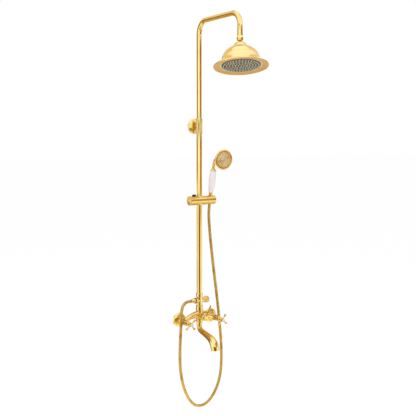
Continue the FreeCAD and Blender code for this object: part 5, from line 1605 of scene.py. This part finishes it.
# ---- hose ----
@dataclass
class Hose:
    """Interlocked metal hose from the diverter's outlet down in a loop and up to the handset."""

    diameter: float = 11.98  # the hose's outer diameter
    turn: float = 4.0  # one turn of the interlocked strip
    groove: float = 0.5  # depth of the strip's seam
    around: int = 24  # vertices round the hose
    per_turn: int = 8  # rings for one turn of the strip
    # Control points of the route, from the outlet's nut to the handset's nut.
    points: tuple[tuple[float, float, float], ...] = (
        (-39.0, -40.0, 82.0), (-57.5, -40.0, 82.0), (-74.6, -43.5, 75.6), (-87.2, -49.0, 63.0),
        (-94.0, -54.0, 44.5), (-97.5, -58.5, 14.5), (-102.0, -61.5, -38.0), (-106.5, -62.0, -108.0),
        (-105.5, -61.0, -180.0), (-94.0, -58.0, -249.0), (-69.0, -55.0, -316.0), (-28.0, -52.0, -366.0),
        (28.0, -50.0, -368.0), (76.0, -47.0, -320.0), (104.0, -43.0, -250.0), (111.0, -38.0, -162.0),
        (106.0, -35.0, -58.0), (93.5, -32.0, 66.0), (76.5, -30.0, 196.0), (62.0, -29.0, 314.0),
        (54.0, -28.0, 398.0),
    )
    end_run: float = 33.0  # straight run before the nut
    # From the handset down, the two bodies that a stretch joins and its length.
    stretches: tuple[tuple[str, str, float], ...] = (
        ("holder", "hose_end", 76.0), ("slider", "holder", 76.0), ("slider_liner", "slider", 80.0))
    slack: float = 0.03  # share of such a stretch at each end, by which its end points move inward
    loop_margin: float = 1.2  # the same at the loop's ends, in hose radii

    def route(self) -> list[Vector]:
        """Return the route's control points, in metres."""
        tip = along_hand(-TAPER.below)
        points = [Vector(point) for point in self.points]
        return [point * MM for point in points + [tip - HAND_WAY * self.end_run, tip]]

    def centreline(self) -> list[Vector]:
        """Read closely spaced points from the route's smooth spline.

        Returns:
            Points along the hose's axis, in metres.
        """
        curve = bpy.data.curves.new("hose route", "CURVE")
        curve.dimensions = "3D"
        curve.resolution_u = 48
        route = self.route()
        spline = curve.splines.new("NURBS")
        spline.points.add(len(route) - 1)
        for point, place in zip(spline.points, route):
            point.co = (*place, 1.0)
        spline.order_u = 3
        spline.use_endpoint_u = True
        guide = bpy.data.objects.new("hose route", curve)
        mesh = bpy.data.meshes.new_from_object(guide)
        line = [vertex.co.copy() for vertex in mesh.vertices]
        bpy.data.objects.remove(guide)
        bpy.data.meshes.remove(mesh)
        bpy.data.curves.remove(curve)
        return line

    def build(self) -> None:
        """Make the hose in consecutive stretches, each running between the two bodies it joins.

        The long loop is cut at its lowest point.
        """
        line = self.centreline()
        ways = [0.0]
        for before, after in zip(line, line[1:]):
            ways.append(ways[-1] + (after - before).length / MM)
        total = ways[-1]
        cuts = [total]
        for _, _, length in self.stretches:
            cuts.append(cuts[-1] - length)
        lowest = min(range(len(line)), key=lambda index: line[index].z)
        cuts += [ways[lowest], 0.0]
        bodies = [pair[:2] for pair in self.stretches] + [("root", "slider_liner"), ("root", "root")]
        count = math.ceil(total * self.per_turn / self.turn)
        marks = spread(0.0, total, count)
        rings = self.resampled(line, ways, marks)
        frames = transported(rings)
        log.info("hose %.1f mm long", total)
        for number in reversed(range(len(bodies))):
            part = slice(round(cuts[number + 1] / total * count), round(cuts[number] / total * count) + 1)
            self.stretch(number, bodies[number], rings[part], frames[part], marks[part])

    @staticmethod
    def resampled(line: Sequence[Vector], ways: Sequence[float], marks: Sequence[float]) -> list[Vector]:
        """Find the points at given distances along a line.

        Args:
            line: the line's points.
            ways: each point's distance from the start.
            marks: the distances wanted, rising.

        Returns:
            The points.
        """
        found = []
        index = 0
        for mark in marks:
            while index < len(ways) - 2 and ways[index + 1] < mark:
                index += 1
            share = (mark - ways[index]) / (ways[index + 1] - ways[index])
            found.append(line[index].lerp(line[index + 1], min(max(share, 0.0), 1.0)))
        return found

    def depth_at(self, mark: float, angle: float) -> float:
        """Return how deep the strip's seam is, from 0 to 1, at a distance and an angle."""
        phase = (mark / self.turn - angle / (2 * math.pi)) % 1.0
        return max(0.0, 1.0 - abs(phase - 0.5) / 0.2)

    def stretch(self, number: int, bodies: tuple[str, str], rings: list[Vector],
                frames: list[tuple[Vector, Vector, Vector]], marks: list[float]) -> None:
        """Make one stretch of the hose.

        Args:
            number: its number from the handset down.
            bodies: the bodies at its lower and upper end.
            rings: centres of its rings, in metres.
            frames: tangent and axes of each ring.
            marks: each ring's distance from the hose's start.
        """
        vertices, seam_shades = [], []
        for centre, (_, side, other), mark in zip(rings, frames, marks):
            for step in range(self.around):
                angle = 2 * math.pi * step / self.around
                seam = self.depth_at(mark, angle)
                reach = (self.diameter / 2 - self.groove * seam) * MM
                vertices.append(centre + (side * math.cos(angle) + other * math.sin(angle)) * reach)
                seam_shades.append(seam)
        last = (len(rings) - 1) * self.around
        faces = [face[:1] + face[:0:-1] for face in between(len(rings), self.around)]
        faces += [tuple(range(self.around)), tuple(range(last + self.around - 1, last - 1, -1))]
        mesh = bpy.data.meshes.new("hose stretch")
        mesh.from_pydata(vertices, [], faces)
        # The seam depth goes on the mesh, and the wound finish paints it as shade.
        mesh.attributes.new(SEAM_SHADE_ATTRIBUTE, "FLOAT", "POINT").data.foreach_set("value", seam_shades)
        lower, upper = bodies
        body = lower if lower == upper else None
        piece = add(f"hose_stretch_{number + 1}", mesh, body, WOUND_GOLD, "shower_hose")
        start, end = rings[0], rings[-1]
        if lower == "root":
            margin = UP * (self.diameter / 2 * MM * self.loop_margin)
            start, end = UP * start.z + margin, UP * end.z - margin
        else:
            slack = (end - start) * self.slack
            start, end = start + slack, end - slack
        if lower != upper:
            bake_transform(piece)
            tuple(start)
            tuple(end)


# ---- shower diverter ----
@dataclass
class ShowerDiverter:
    """Tee under the riser that sends the water to the overhead shower or to the hose."""

    body: float = 12.0  # the tee's radius
    branch: float = 10.0  # radius of the outlet and of the valve's boss, which stand on a thicker foot
    branch_foot: float = 13.2  # length of that foot
    outlet_end: float = 20.0  # riser's axis to the outlet's end
    boss_end: float = 18.7  # riser's axis to the boss's end
    knob: float = 14.0  # the knob's radius
    knob_length: float = 22.0
    flutes: int = 8  # flutes round the knob
    flute_depth: float = 2.4  # how deep they are
    nut_edge: float = 1.4  # rolled edge of the nuts
    nut_groove: float = 0.35  # half the width and the depth of the grooves round them
    top_seat: float = 14.0  # length of the upper nut's narrow bore
    low_seat: float = 4.0  # length of the lower nut's narrow bore
    bore: float = 3.8  # radius of the waterway to the hose
    waterway: float = 6.0  # radius of the waterway to the riser
    cartridge: float = 7.55  # radius of the cartridge's bore

    def build(self) -> None:
        """Make the tee, its nuts, the knob and the hose's lower nut."""
        self.tee()
        self.ring_nut("riser_clamp_nut", "diverter_top_nut", RISER_RADIUS + FIT)
        self.ring_nut("tee_lower_nut", "diverter_bottom_nut", self.waterway)
        self.turning_knob()
        self.seal()
        self.hose_nut()
        dress(TURNED_BRASS, "diverter_cartridge")

    def tee(self) -> None:
        """Body with the outlet on its left and the valve's boss on its right."""
        low, length = extent("diverter_body", "z")
        foot, r = self.branch_foot, self.branch
        post = revolve(rod(self.body, length, 0.4, 0.4), on_riser(low), UP, 192)
        branches = []
        for way, end in ((LEFT, self.outlet_end), (RIGHT, self.boss_end)):
            profile = rounded([(0.0, 0.0), (r + 1.0, 0.0), (r + 1.0, foot, 0.6), (r, foot + 1.0, 0.4),
                               (r, end, 0.4), (0.0, end)])
            branches.append(revolve(profile, OUTLET, way, 128))
        tools = [cylinder(self.waterway, on_riser(low - PAST), UP, length + 2 * PAST, 64),
                 cylinder(self.bore, OUTLET, LEFT, self.outlet_end + PAST, 48),
                 cylinder(self.cartridge, OUTLET, RIGHT, self.boss_end + PAST, 96)]
        add("shower_tee", carved(fused(post, *branches), *tools), "root", POLISHED_GOLD, "diverter_body")

    def ring_nut(self, name: str, node: str, bore: float) -> None:
        """Round nut with rolled edges and a fine groove near each edge.

        Args:
            name: the piece's name.
            node: the frame's node that it stands for.
            bore: radius of its hole beyond the tee.
        """
        low, length = extent(node, "z")
        radius = extent(node, "x")[1] / 2
        edge, groove, seat = self.nut_edge, self.nut_groove, self.body + FIT
        upper = node == "diverter_top_nut"
        step = length - self.top_seat if upper else self.low_seat
        foot, head = (seat, bore) if upper else (bore, seat)
        outline: Profile = [(foot, 0.0), (radius, 0.0, edge)]
        for height in (3.0, length - 3.0):
            outline += [(radius, height - groove), (radius - groove, height), (radius, height + groove)]
        outline += [(radius, length, edge), (head, length), (head, step), (foot, step)]
        turn(name, node, rounded(outline), on_riser(low), UP, 160)

    def turning_knob(self) -> None:
        """Fluted knob with a domed end."""
        r, length = self.knob, self.knob_length
        profile: Profile = [(0.0, 0.0), (r - 4.0, 0.0, 0.4), (r - 3.4, 4.0, 1.0), (r - 1.6, 6.3),
                            (r - 0.5, 7.6)]
        profile += [(r, height) for height in spread(9.0, 18.0, 9)]
        profile += arc_through((r, 18.0), (r - 0.9, 20.6), (r - 3.2, length), 8)
        profile += [(r - 3.6, length - 0.2), (r - 4.2, length - 0.2), (r - 4.6, length + 0.1),
                    (0.0, length + 0.6)]
        start = Vector((low_of("diverter_knob").x, OUTLET.y, OUTLET.z))
        turn("shower_knob", "diverter_knob", rounded(profile), start, RIGHT, 240, "diverter_valve",
             shape=fluted(self.flutes, self.flute_depth, 6.0, 20.8, 2.5))

    def seal(self) -> None:
        """Rubber ring between the outlet and the hose's nut."""
        thick, r = extent("outlet_seal_ring", "x")[1], extent("outlet_seal_ring", "z")[1] / 2
        profile = rounded([(self.bore, 0.0), (r, 0.0, 0.9), (r, thick, 0.9), (self.bore, thick)])
        start = Vector((high_of("outlet_seal_ring").x, OUTLET.y, OUTLET.z))
        turn("outlet_seal", "outlet_seal_ring", profile, start, LEFT, 96, finish=BLACK_RUBBER)

    def hose_nut(self) -> None:
        """Tapered nut with a fluted grip."""
        length, r = extent("hose_outlet_nut", "x")[1], self.branch
        profile = rounded([(self.bore, 0.0), (r + 0.5, 0.0, 0.5), (r + 0.5, 1.0), (r + 0.5, 2.0),
                           (r + 0.4, 3.0), (r + 0.2, 4.5), (r, 6.0), (r - 0.5, 7.6, 0.8), (7.6, 11.5, 1.5),
                           (7.2, 13.0, 0.8), (7.1, length, 0.4), (self.bore, length)])
        start = Vector((high_of("hose_outlet_nut").x, OUTLET.y, OUTLET.z))
        grip = fluted(18, 0.45, 0.9, 6.2, 2.0)
        turn("hose_start_nut", "hose_outlet_nut", profile, start, LEFT, 144, shape=grip)


# ---- mixer ----
@dataclass
class Mixer:
    """Arched bridge with two valves, their cross handles, the wall unions and their covers."""

    pitch: float = 150.0  # distance between the inlets
    valve: float = 12.0  # radius of a valve barrel
    valve_back: float = 14.0  # riser's axis back to the barrel's end
    valve_front: float = 24.0  # riser's axis forward to the barrel's end
    arch_middle: float = 14.5  # the arch's radius in its middle
    arch_end: float = 9.0  # its radius at the valves
    rise: float = 23.0  # the arch's height in its middle
    post: float = 14.0  # the post's radius
    post_low: float = -8.0  # the post's foot
    post_high: float = 38.0  # the post's head
    spigot: float = 10.2  # radius of the spigot under the post
    spigot_length: float = 9.0
    waterway: float = 6.0  # radius of the waterway through the post
    housing: float = 12.25  # radius of the bath lever's housing
    housing_height: float = 16.0  # height of its axis
    housing_front: float = 40.0  # riser's axis to its front
    spool: float = 8.05  # radius of the housing's bore
    union: float = 11.0  # radius of a union's barrel
    union_bore: float = 7.5  # radius of its bore
    # Y of the barrel's end and of the wall thread's start.
    web: tuple[float, float] = (-11.0, -5.0)
    thread: float = 10.48  # radius of its wall thread
    thread_pitch: float = 1.8  # from turn to turn
    thread_depth: float = 0.55  # how deep it is cut
    offset: float = 8.0  # the wall thread's offset from the barrel
    offset_turn: float = 20.0  # how far that offset looks above level, in degrees
    cover: float = 30.0  # a wall cover's radius
    cover_depth: float = 12.5
    sheet: float = 1.2  # its wall
    bonnet: float = 10.0  # a bonnet's radius
    bonnet_length: float = 20.0
    plug: float = 6.0  # depth of the bonnet in the barrel
    spindle: float = 4.05  # radius of the spindle's hole
    handle_turns: tuple[float, float] = (40.0, 50.0)  # angles of the handles' first arms, in degrees

    def build(self) -> None:
        """Make the bridge, then each side's pieces."""
        self.bridge()
        self.nuts()
        self.unions()
        self.covers()
        self.bonnets()
        dress(TURNED_BRASS, "valve_spindle_left", "valve_spindle_right", "tub_spool")
        bodies = (("left", "hot_valve"), ("right", "cold_valve"))
        for (side, body), place, angle in zip(bodies, self.sides(), self.handle_turns):
            CrossHandle(side, place.x, angle, body).build()

    def sides(self) -> list[Vector]:
        """Return the inlets' places on the riser's plane, the left one first."""
        return [Vector((side * self.pitch / 2, RISER.y, 0.0)) for side in (-1.0, 1.0)]

    def pair(self, name: str, node: str, profile: Profile, y: float, finish: Finish = POLISHED_GOLD) -> None:
        """Turn a profile at both inlets, forward from a distance behind the wall's face."""
        meshes = [revolve(profile, Vector((side.x, y, 0.0)), FRONT, 128) for side in self.sides()]
        add(name, merged(meshes), "root", finish, node)

    def bridge(self) -> None:
        """Cast bridge: post, arch, two valve barrels and the lever's housing."""
        height, spigot = self.post_high - self.post_low, self.spigot_length
        post = revolve(rounded([(0.0, -spigot), (self.spigot, -spigot, 0.5), (self.spigot, 0.0),
                                (self.post, 0.0, 1.5), (self.post, height, 1.0), (0.0, height)]),
                       on_riser(self.post_low), UP, 192)
        length = self.valve_back + self.valve_front
        parts = [self.arch_rod()]
        parts += [revolve(rod(self.valve, length, 0.5, 0.8), side + BACK * self.valve_back, FRONT, 192)
                  for side in self.sides()]
        housing = on_riser(self.housing_height)
        parts.append(revolve(rod(self.housing, self.housing_front, 0.0, 0.4), housing, FRONT, 192))
        foot = on_riser(self.post_low - spigot - PAST)
        tools = [cylinder(self.waterway, foot, UP, height + spigot + 2 * PAST, 64),
                 cylinder(self.spool, housing, FRONT, self.housing_front + PAST, 96)]
        back = BACK * (self.valve_back + PAST)
        tools += [cylinder(self.union_bore, side + back, FRONT, length + 2 * PAST, 96)
                  for side in self.sides()]
        add("mixer_bridge", carved(fused(post, *parts), *tools), "root", SOFT_GOLD, "mixer_body")

    def arch_rod(self) -> Mesh:
        """Return the arch between the two valves, thickest in its middle."""
        half = self.pitch / 2
        radius = (half * half + self.rise * self.rise) / (2 * self.rise)
        bend = math.asin(half / radius)
        line, radii = [], []
        for share in spread(-1.0, 1.0, 96):
            angle = bend * share
            height = self.rise - radius * (1 - math.cos(angle))
            line.append(Vector((radius * math.sin(angle), RISER.y, height)))
            belly = math.cos(share * math.pi / 2) ** 2
            radii.append(self.arch_end + (self.arch_middle - self.arch_end) * belly)
        return sweep(line, radii, 192)

    def nuts(self) -> None:
        """Two round union nuts with rolled edges."""
        back, (_, length) = high_of("union_nuts").y, extent("union_nuts", "y")
        r = extent("union_nuts", "z")[1] / 2
        bore, seat = self.union + FIT, self.valve + FIT
        step = back - (RISER.y + self.valve_back)
        profile = rounded([(bore, 0.0), (r - 2.0, 0.0, 0.5), (r, 2.0, 1.0), (r, 5.6), (r - 0.4, 6.0),
                           (r, 6.4), (r, length - 3.0, 1.2), (r - 1.6, length, 0.4), (seat, length),
                           (seat, step), (bore, step)])
        self.pair("inlet_nuts", "union_nuts", profile, back)

    def unions(self) -> None:
        """Eccentric unions: a plated barrel, then a web and a threaded tail in the wall."""
        lift = math.radians(self.offset_turn)
        (step_y, tail_y), end_y = self.web, high_of("wall_unions").y
        start_y, r, tail, rows = RISER.y + self.valve_back, self.union, self.thread, 8
        count = round((end_y - tail_y - 1.0) / self.thread_pitch * rows)
        barrel = [(start_y, 0.0, r - 0.3, 0.0), (start_y + 0.3, 0.0, r, 0.0), (step_y, 0.0, r, 0.0)]
        threads = [(tail_y + row * self.thread_pitch / rows, 1.0, tail, self.thread_depth)
                   for row in range(1, count + 1)]
        ends = [(step_y, 0.0, r, 0.0), (tail_y, 1.0, tail, 0.0)], [(end_y, 1.0, tail - 0.7, 0.0)]
        barrels, tails = [], []
        for side in self.sides():
            sign = math.copysign(1.0, side.x)
            shift = Vector((sign * self.offset * math.cos(lift), 0.0, self.offset * math.sin(lift)))
            axis = Vector((side.x, 0.0, 0.0))
            barrels.append(self.threaded(axis, shift, barrel, (0, 2)))
            tails.append(self.threaded(axis, shift, ends[0] + threads + ends[1], (0, 1, -1)))
        add("wall_union_barrels", merged(barrels), "root", POLISHED_GOLD)
        add("wall_union_tails", merged(tails), "root", DARK_THREAD, "wall_unions")

    def threaded(self, axis: Vector, shift: Vector, stations: list[tuple[float, float, float, float]],
                 bored: tuple[int, ...]) -> Mesh:
        """Make one part of a union from its stations.

        Args:
            axis: the inlet's axis on the wall.
            shift: the wall thread's offset.
            stations: for each ring its Y, its share of the offset, its radius and its thread's depth.
            bored: the stations where the bore has a ring too.

        Returns:
            A closed hollow mesh.
        """
        around = 96
        vertices = []
        holes = [(*stations[index][:2], self.union_bore, 0.0) for index in reversed(bored)]
        for y, share, radius, cut in stations + holes:
            centre = axis + shift * share + BACK * y
            for step in range(around):
                angle = 2 * math.pi * step / around
                phase = (y / self.thread_pitch - angle / (2 * math.pi)) % 1.0
                reach = radius - cut * abs(2 * phase - 1)
                vertices.append(centre + Vector((math.cos(angle), 0.0, math.sin(angle))) * reach)
        return skinned(vertices, around)

    def covers(self) -> None:
        """Two domed wall covers with rolled rims."""
        r, depth = self.cover, self.cover_depth
        hole = self.union + FIT
        outer = [(r - 0.3, 0.0), (r, 0.3), (r, 1.2), (r - 0.3, 1.9)]
        outer += arc_through(outer[-1], (r * 0.83, depth * 0.68), (hole + 3.5, depth - 0.2), 28)
        outer += [(hole + 2.6, depth), (hole, depth)]
        self.pair("wall_covers", "escutcheons", sheet_of(outer, self.sheet), 0.0, SOFT_GOLD)

    def bonnets(self) -> None:
        """Two bonnets with a collar, a waist and a chamfered nose."""
        r, length, hole, depth = self.bonnet, self.bonnet_length, self.spindle, -self.plug
        plug = self.union_bore - FIT
        profile = rounded([(hole, depth), (plug, depth), (plug, 0.0), (r + 1.0, 0.0), (r + 1.0, 3.0, 0.6),
                           (r, 4.2, 0.6), (r, length - 6.4, 0.2), (r - 0.5, length - 6.0),
                           (r, length - 5.6, 0.2), (r, length - 3.0, 1.2), (r - 2.5, length, 0.5),
                           (hole, length)])
        self.pair("bonnet_pair", "valve_bonnets", profile, RISER.y - self.valve_front)


@dataclass
class CrossHandle:
    """Cross handle: a hub with four arms that end in small knobs, and a porcelain button."""

    side: str  # left or right
    x: float  # the spindle's place along the wall
    angle: float  # angle of the first arm, in degrees
    body: str  # the body that it rides on
    axis_front: float = 57.0  # riser's axis to the arms' axis
    hub: float = 8.0  # the hub's radius
    back: float = 9.0  # arms' axis to the hub's back
    front: float = 12.5  # arms' axis to the hub's front
    bore: float = 4.03  # radius of the spindle's hole
    arm: float = 2.9  # an arm's radius
    tip: float = 5.0  # its knob's radius
    reach: float = 29.0  # the arms' length
    button: float = 5.4  # the button's radius
    button_height: float = 3.5
    button_seat: float = 2.5  # how deep it sits in the hub

    def build(self) -> None:
        """Make the handle and its button."""
        centre = Vector((self.x, RISER.y - self.axis_front, 0.0))
        hub = revolve(rounded(self.hub_profile()), centre, FRONT, 128)
        arms = []
        for quarter in range(4):
            angle = math.radians(self.angle + 90 * quarter)
            way = Vector((math.cos(angle), 0.0, math.sin(angle)))
            arms.append(revolve(self.arm_profile(), centre, way, 64))
        seat = centre + FRONT * (self.front - self.button_seat)
        tools = [cylinder(self.bore, centre + BACK * (self.back + 1.0), FRONT,
                          self.back + self.front - self.button_seat, 64),
                 cylinder(self.button + FIT, seat, FRONT, PAST + 1.0, 96)]
        node = "cross_handle_" + self.side
        add(node + "_casting", carved(fused(hub, *arms), *tools), self.body, POLISHED_GOLD, node)
        self.porcelain(seat)

    def hub_profile(self) -> Profile:
        """Return the hub's outline from back to front."""
        r, back, front = self.hub, self.back, self.front
        return [(0.0, -back), (r - 1.0, -back, 0.4), (r, -back + 2.0, 1.0), (r - 1.1, -back + 4.2, 1.5),
                (r - 0.2, -2.6, 1.5), (r, 0.0, 2.0), (r - 0.5, 4.6, 1.0), (r - 1.3, 6.2, 1.5),
                (r - 0.9, 8.6, 1.0), (r - 1.2, front - 1.4, 0.8), (r - 2.2, front, 0.5), (0.0, front)]

    def arm_profile(self) -> Profile:
        """Return an arm's outline, with a bead before its pear-shaped knob."""
        arm, tip, reach = self.arm, self.tip, self.reach
        foot = 4.0
        outline = flowing([(arm + 0.9, foot), (arm + 0.7, 7.0), (arm + 0.1, 10.0), (arm - 0.2, 13.0),
                           (arm - 0.1, 15.6)], 4)
        outline += [(arm + 0.5, 16.0), (arm + 0.7, 16.5), (arm + 0.5, 17.0)]
        outline += flowing([(arm, 17.4), (arm + 0.4, 19.2), (tip - 0.9, 22.0), (tip - 0.1, 24.4),
                            (tip - 0.2, 26.0), (tip - 1.2, 28.0), (tip - 2.6, reach - 0.2)], 5)
        return [(0.0, foot)] + outline + [(0.0, reach)]

    def porcelain(self, seat: Vector) -> None:
        """Domed glazed button.

        Args:
            seat: centre of the button's back.
        """
        r, height = self.button, self.button_height
        edge = (r, height - 1.5)
        outline = arc_through(edge, (r * 0.72, height - 0.45), (0.0, height), 12)
        profile = [(0.0, 0.0), (r, 0.0), edge] + outline[:-1] + [(0.0, height)]
        turn("porcelain_button_" + self.side, "ceramic_button_" + self.side, profile, seat, FRONT, 96,
             self.body, THICK_GLAZE)


# ---- bath lever ----
@dataclass
class BathLever:
    """Ring nut on the housing and the stick lever that sends the water to the spout."""

    height: float = 16.0  # height of its axis
    front: float = 40.0  # riser's axis to the housing's front
    cap: float = 12.25  # the ring nut's radius
    cap_length: float = 4.0
    spindle: float = 4.05  # radius of its hole
    gap: float = 0.3  # from the ring nut to the hub
    hub: float = 11.0  # the lever's hub
    hub_length: float = 11.0
    bore: float = 4.03  # radius of the spindle's hole in the hub
    reach: float = 57.0  # the stick's length
    stick: float = 3.0  # the stick's radius
    lean: float = 27.0  # how far it leans right, in degrees

    def build(self) -> None:
        """Make the ring nut and the lever."""
        face = on_riser(self.height) + FRONT * self.front
        r, length, hole = self.cap, self.cap_length, self.spindle
        profile = rounded([(hole, 0.0), (r, 0.0), (r, 1.4, 0.3), (r - 1.5, length, 0.6), (hole, length)])
        turn("lever_ring_nut", "tub_cap", profile, face, FRONT)
        self.lever(face + FRONT * (length + self.gap))

    def lever(self, start: Vector) -> None:
        """Domed hub with the tapering stick in its side.

        Args:
            start: centre of the hub's back.
        """
        r, length, stick = self.hub, self.hub_length, self.stick
        shoulder, foot = (r, length - 3.0), r - 3.0
        outline: Profile = [(0.0, 0.0), (r, 0.0, 0.5), (r, 1.6), (r - 0.4, 2.0), (r, 2.4), shoulder]
        outline += arc_through(shoulder, (r - 0.8, length - 0.9), (r - 3.2, length), 8)
        outline += [(r - 4.0, length - 0.25), (r - 5.0, length + 0.1), (0.0, length + 0.8)]
        hub = revolve(rounded(outline), start, FRONT, 160)
        lean = math.radians(self.lean)
        way = Vector((math.sin(lean), 0.0, math.cos(lean)))
        profile = flowing([(stick + 0.9, foot), (stick + 0.7, r + 0.5), (stick - 0.1, r + 3.0),
                           (stick - 0.5, r + 8.0), (stick - 0.4, 36.0), (stick, 50.0), (stick, 54.0),
                           (stick - 0.7, 56.0), (stick - 1.9, 56.9)], 5)
        rod_axis = start + FRONT * ((length - 3.0) / 2 + 0.5)
        rod_mesh = revolve([(0.0, foot), *profile, (0.0, self.reach)], rod_axis, way, 64)
        bore = cylinder(self.bore, start + BACK, FRONT, length - 2.0, 64)
        add("lever_hub", carved(hub, bore), "bath_lever", POLISHED_GOLD, "tub_lever")
        # The stick's darker, browner gold is painted shade.
        add("lever_stick", rod_mesh, "bath_lever", SHADED_GOLD)


# ---- bath spout ----
@dataclass
class BathSpout:
    """Swept spout that widens to its mouth, the nut that holds it and the insert in the mouth."""

    top: float = -27.3  # height of the spout's root
    reach: float = 123.5  # riser's axis to the mouth's centre
    drop: float = 74.0  # the root to the mouth's centre
    root: float = 10.4  # the root's radius
    mouth: float = 17.4  # the mouth's radius
    wall: float = 2.0  # the spout's wall
    neck: float = 9.0  # radius of the neck in the nut
    collar: float = 10.2  # radius of its collar
    collar_height: float = 4.0
    lip: float = 4.0  # thickness of the nut's lip under the collar
    notches: int = 10  # notches round the mouth
    notch_depth: float = 1.5  # how deep they are
    rolled: float = 2.4  # length of the mouth's rolled edge
    insert_length: float = 8.0
    # Shares of the reach, the drop and the widening, and the dip in degrees.
    sections: tuple[tuple[float, float, float, float], ...] = (
        (0.000, 0.000, 0.000, 90.0),
        (0.006, 0.081, 0.029, 78.0),
        (0.053, 0.182, 0.086, 46.0),
        (0.138, 0.250, 0.129, 20.0),
        (0.291, 0.297, 0.171, 11.0),
        (0.518, 0.365, 0.314, 12.0),
        (0.729, 0.453, 0.600, 21.0),
        (0.874, 0.588, 0.857, 42.0),
        (0.960, 0.784, 0.971, 64.0),
        (1.000, 1.000, 1.000, 80.0),
    )

    def build(self) -> None:
        """Make the spout, its nut and the insert."""
        self.shell()
        self.nut()
        self.insert()

    def section(self, entry: Sequence[float]) -> tuple[Vector, Vector, float]:
        """Work out one section of the spout.

        Args:
            entry: shares of reach, drop and widening, and the way's dip in degrees.

        Returns:
            The section's centre, its way and its radius.
        """
        forward, drop, widening, dip = entry
        centre = Vector((RISER.x, RISER.y - forward * self.reach, self.top - drop * self.drop))
        angle = math.radians(dip)
        way = Vector((0.0, -math.cos(angle), -math.sin(angle)))
        return centre, way, self.root + widening * (self.mouth - self.root)

    def shell(self) -> None:
        """Hollow spout with its neck and collar, and notches round the mouth's edge."""
        around = 128
        vertices: list[Vector] = []

        def ring(centre: Vector, way: Vector, radius: float, notch: float = 0.0) -> None:
            """Add one ring of vertices, drawn back at each notch."""
            for step, point in enumerate(circle(centre, RIGHT, way.cross(RIGHT), around, radius)):
                wave = math.cos(self.notches * 2 * math.pi * step / around)
                vertices.append(point - way * notch * max(0.0, wave) ** 3)

        stations = [self.section(entry) for entry in flowing(self.sections, 8)]
        root = on_riser(self.top)
        low = self.lip + 0.6
        high, bore = low + self.collar_height, self.neck - self.wall
        for radius, rise in ((bore, high), (self.collar, high), (self.collar, low), (self.neck, low),
                             (self.neck, 0.1)):
            ring(root + UP * rise, -UP, radius)
        for station in stations[:-2]:
            ring(*station)
        centre, way, radius = stations[-1]
        for back, inset, notch in ((self.rolled, 0.05, 0.0), (0.5, 0.0, self.notch_depth),
                                   (0.0, 0.5, self.notch_depth), (0.0, self.wall, self.notch_depth),
                                   (self.rolled, self.wall, 0.0)):
            ring(centre - way * back, way, radius - inset, notch)
        for centre, way, radius in reversed(stations[2:-2]):
            ring(centre, way, radius - self.wall)
        ring(root, -UP, bore)
        add("bath_spout_tube", skinned(vertices, around), "spout", POLISHED_GOLD, "bath_spout")

    def nut(self) -> None:
        """Round nut with a flange at its top and a groove at its foot."""
        low, length = extent("spout_nut", "z")
        flange = extent("spout_nut", "x")[1] / 2
        outer = flange - 1.2
        neck, collar = self.neck + FIT, self.collar + FIT
        profile = rounded([(neck, 0.0), (outer, 0.0, 0.8), (outer, 2.6), (outer - 0.35, 3.0), (outer, 3.4),
                           (outer, length - 4.0, 1.0), (flange, length - 2.6, 0.6), (flange, length, 0.6),
                           (collar, length), (collar, self.lip), (neck, self.lip)])
        turn("spout_ring_nut", "spout_nut", profile, on_riser(low), UP, 160)

    def insert(self) -> None:
        """Insert with a rim, a ribbed skirt and a pierced plate, brown with painted shade."""
        centre, way, radius = self.section(self.sections[-1])
        r = radius - self.wall - 1.4
        length, skirt = self.insert_length, r - 1.5
        profile = rounded([(0.0, 3.0), (skirt, 3.0), (skirt, 0.0), (r, 0.0), (r, length, 0.4),
                           (skirt, length, 0.4), (skirt, 4.0), (0.0, 4.0)])
        start = centre - way * (length + 1.0)
        plate = revolve(profile, start, way, 96, fluted(36, 0.35, 1.0, length - 1.0, 2.0))
        places = [place + UP for place in nozzle_places(3, 3.6)]
        holes = repeated(cylinder(1.1, ORIGIN, UP, 6.0, 16), start, way, places)
        # The insert's brown is painted shade in the mouth.
        add("spout_insert", carved(plate, holes), "spout", SHADED_INSERT, "spout_aerator")


# ---- build ----
def main() -> None:
    """Build the scene and report each piece."""
    logging.basicConfig(level=logging.INFO, format="%(message)s")
    Studio().build()
    Hose().build()
    for assembly in (WallBracket(), RiserAndArm(), OverheadShower(), Slider(), Handset(), ShowerDiverter(),
                     Mixer(), BathLever(), BathSpout()):
        log.info("building %s", type(assembly).__name__)
        assembly.build()
    for node in frame["nodes"].values():
        smooth(node.data)


if __name__ == "__main__":
    main()
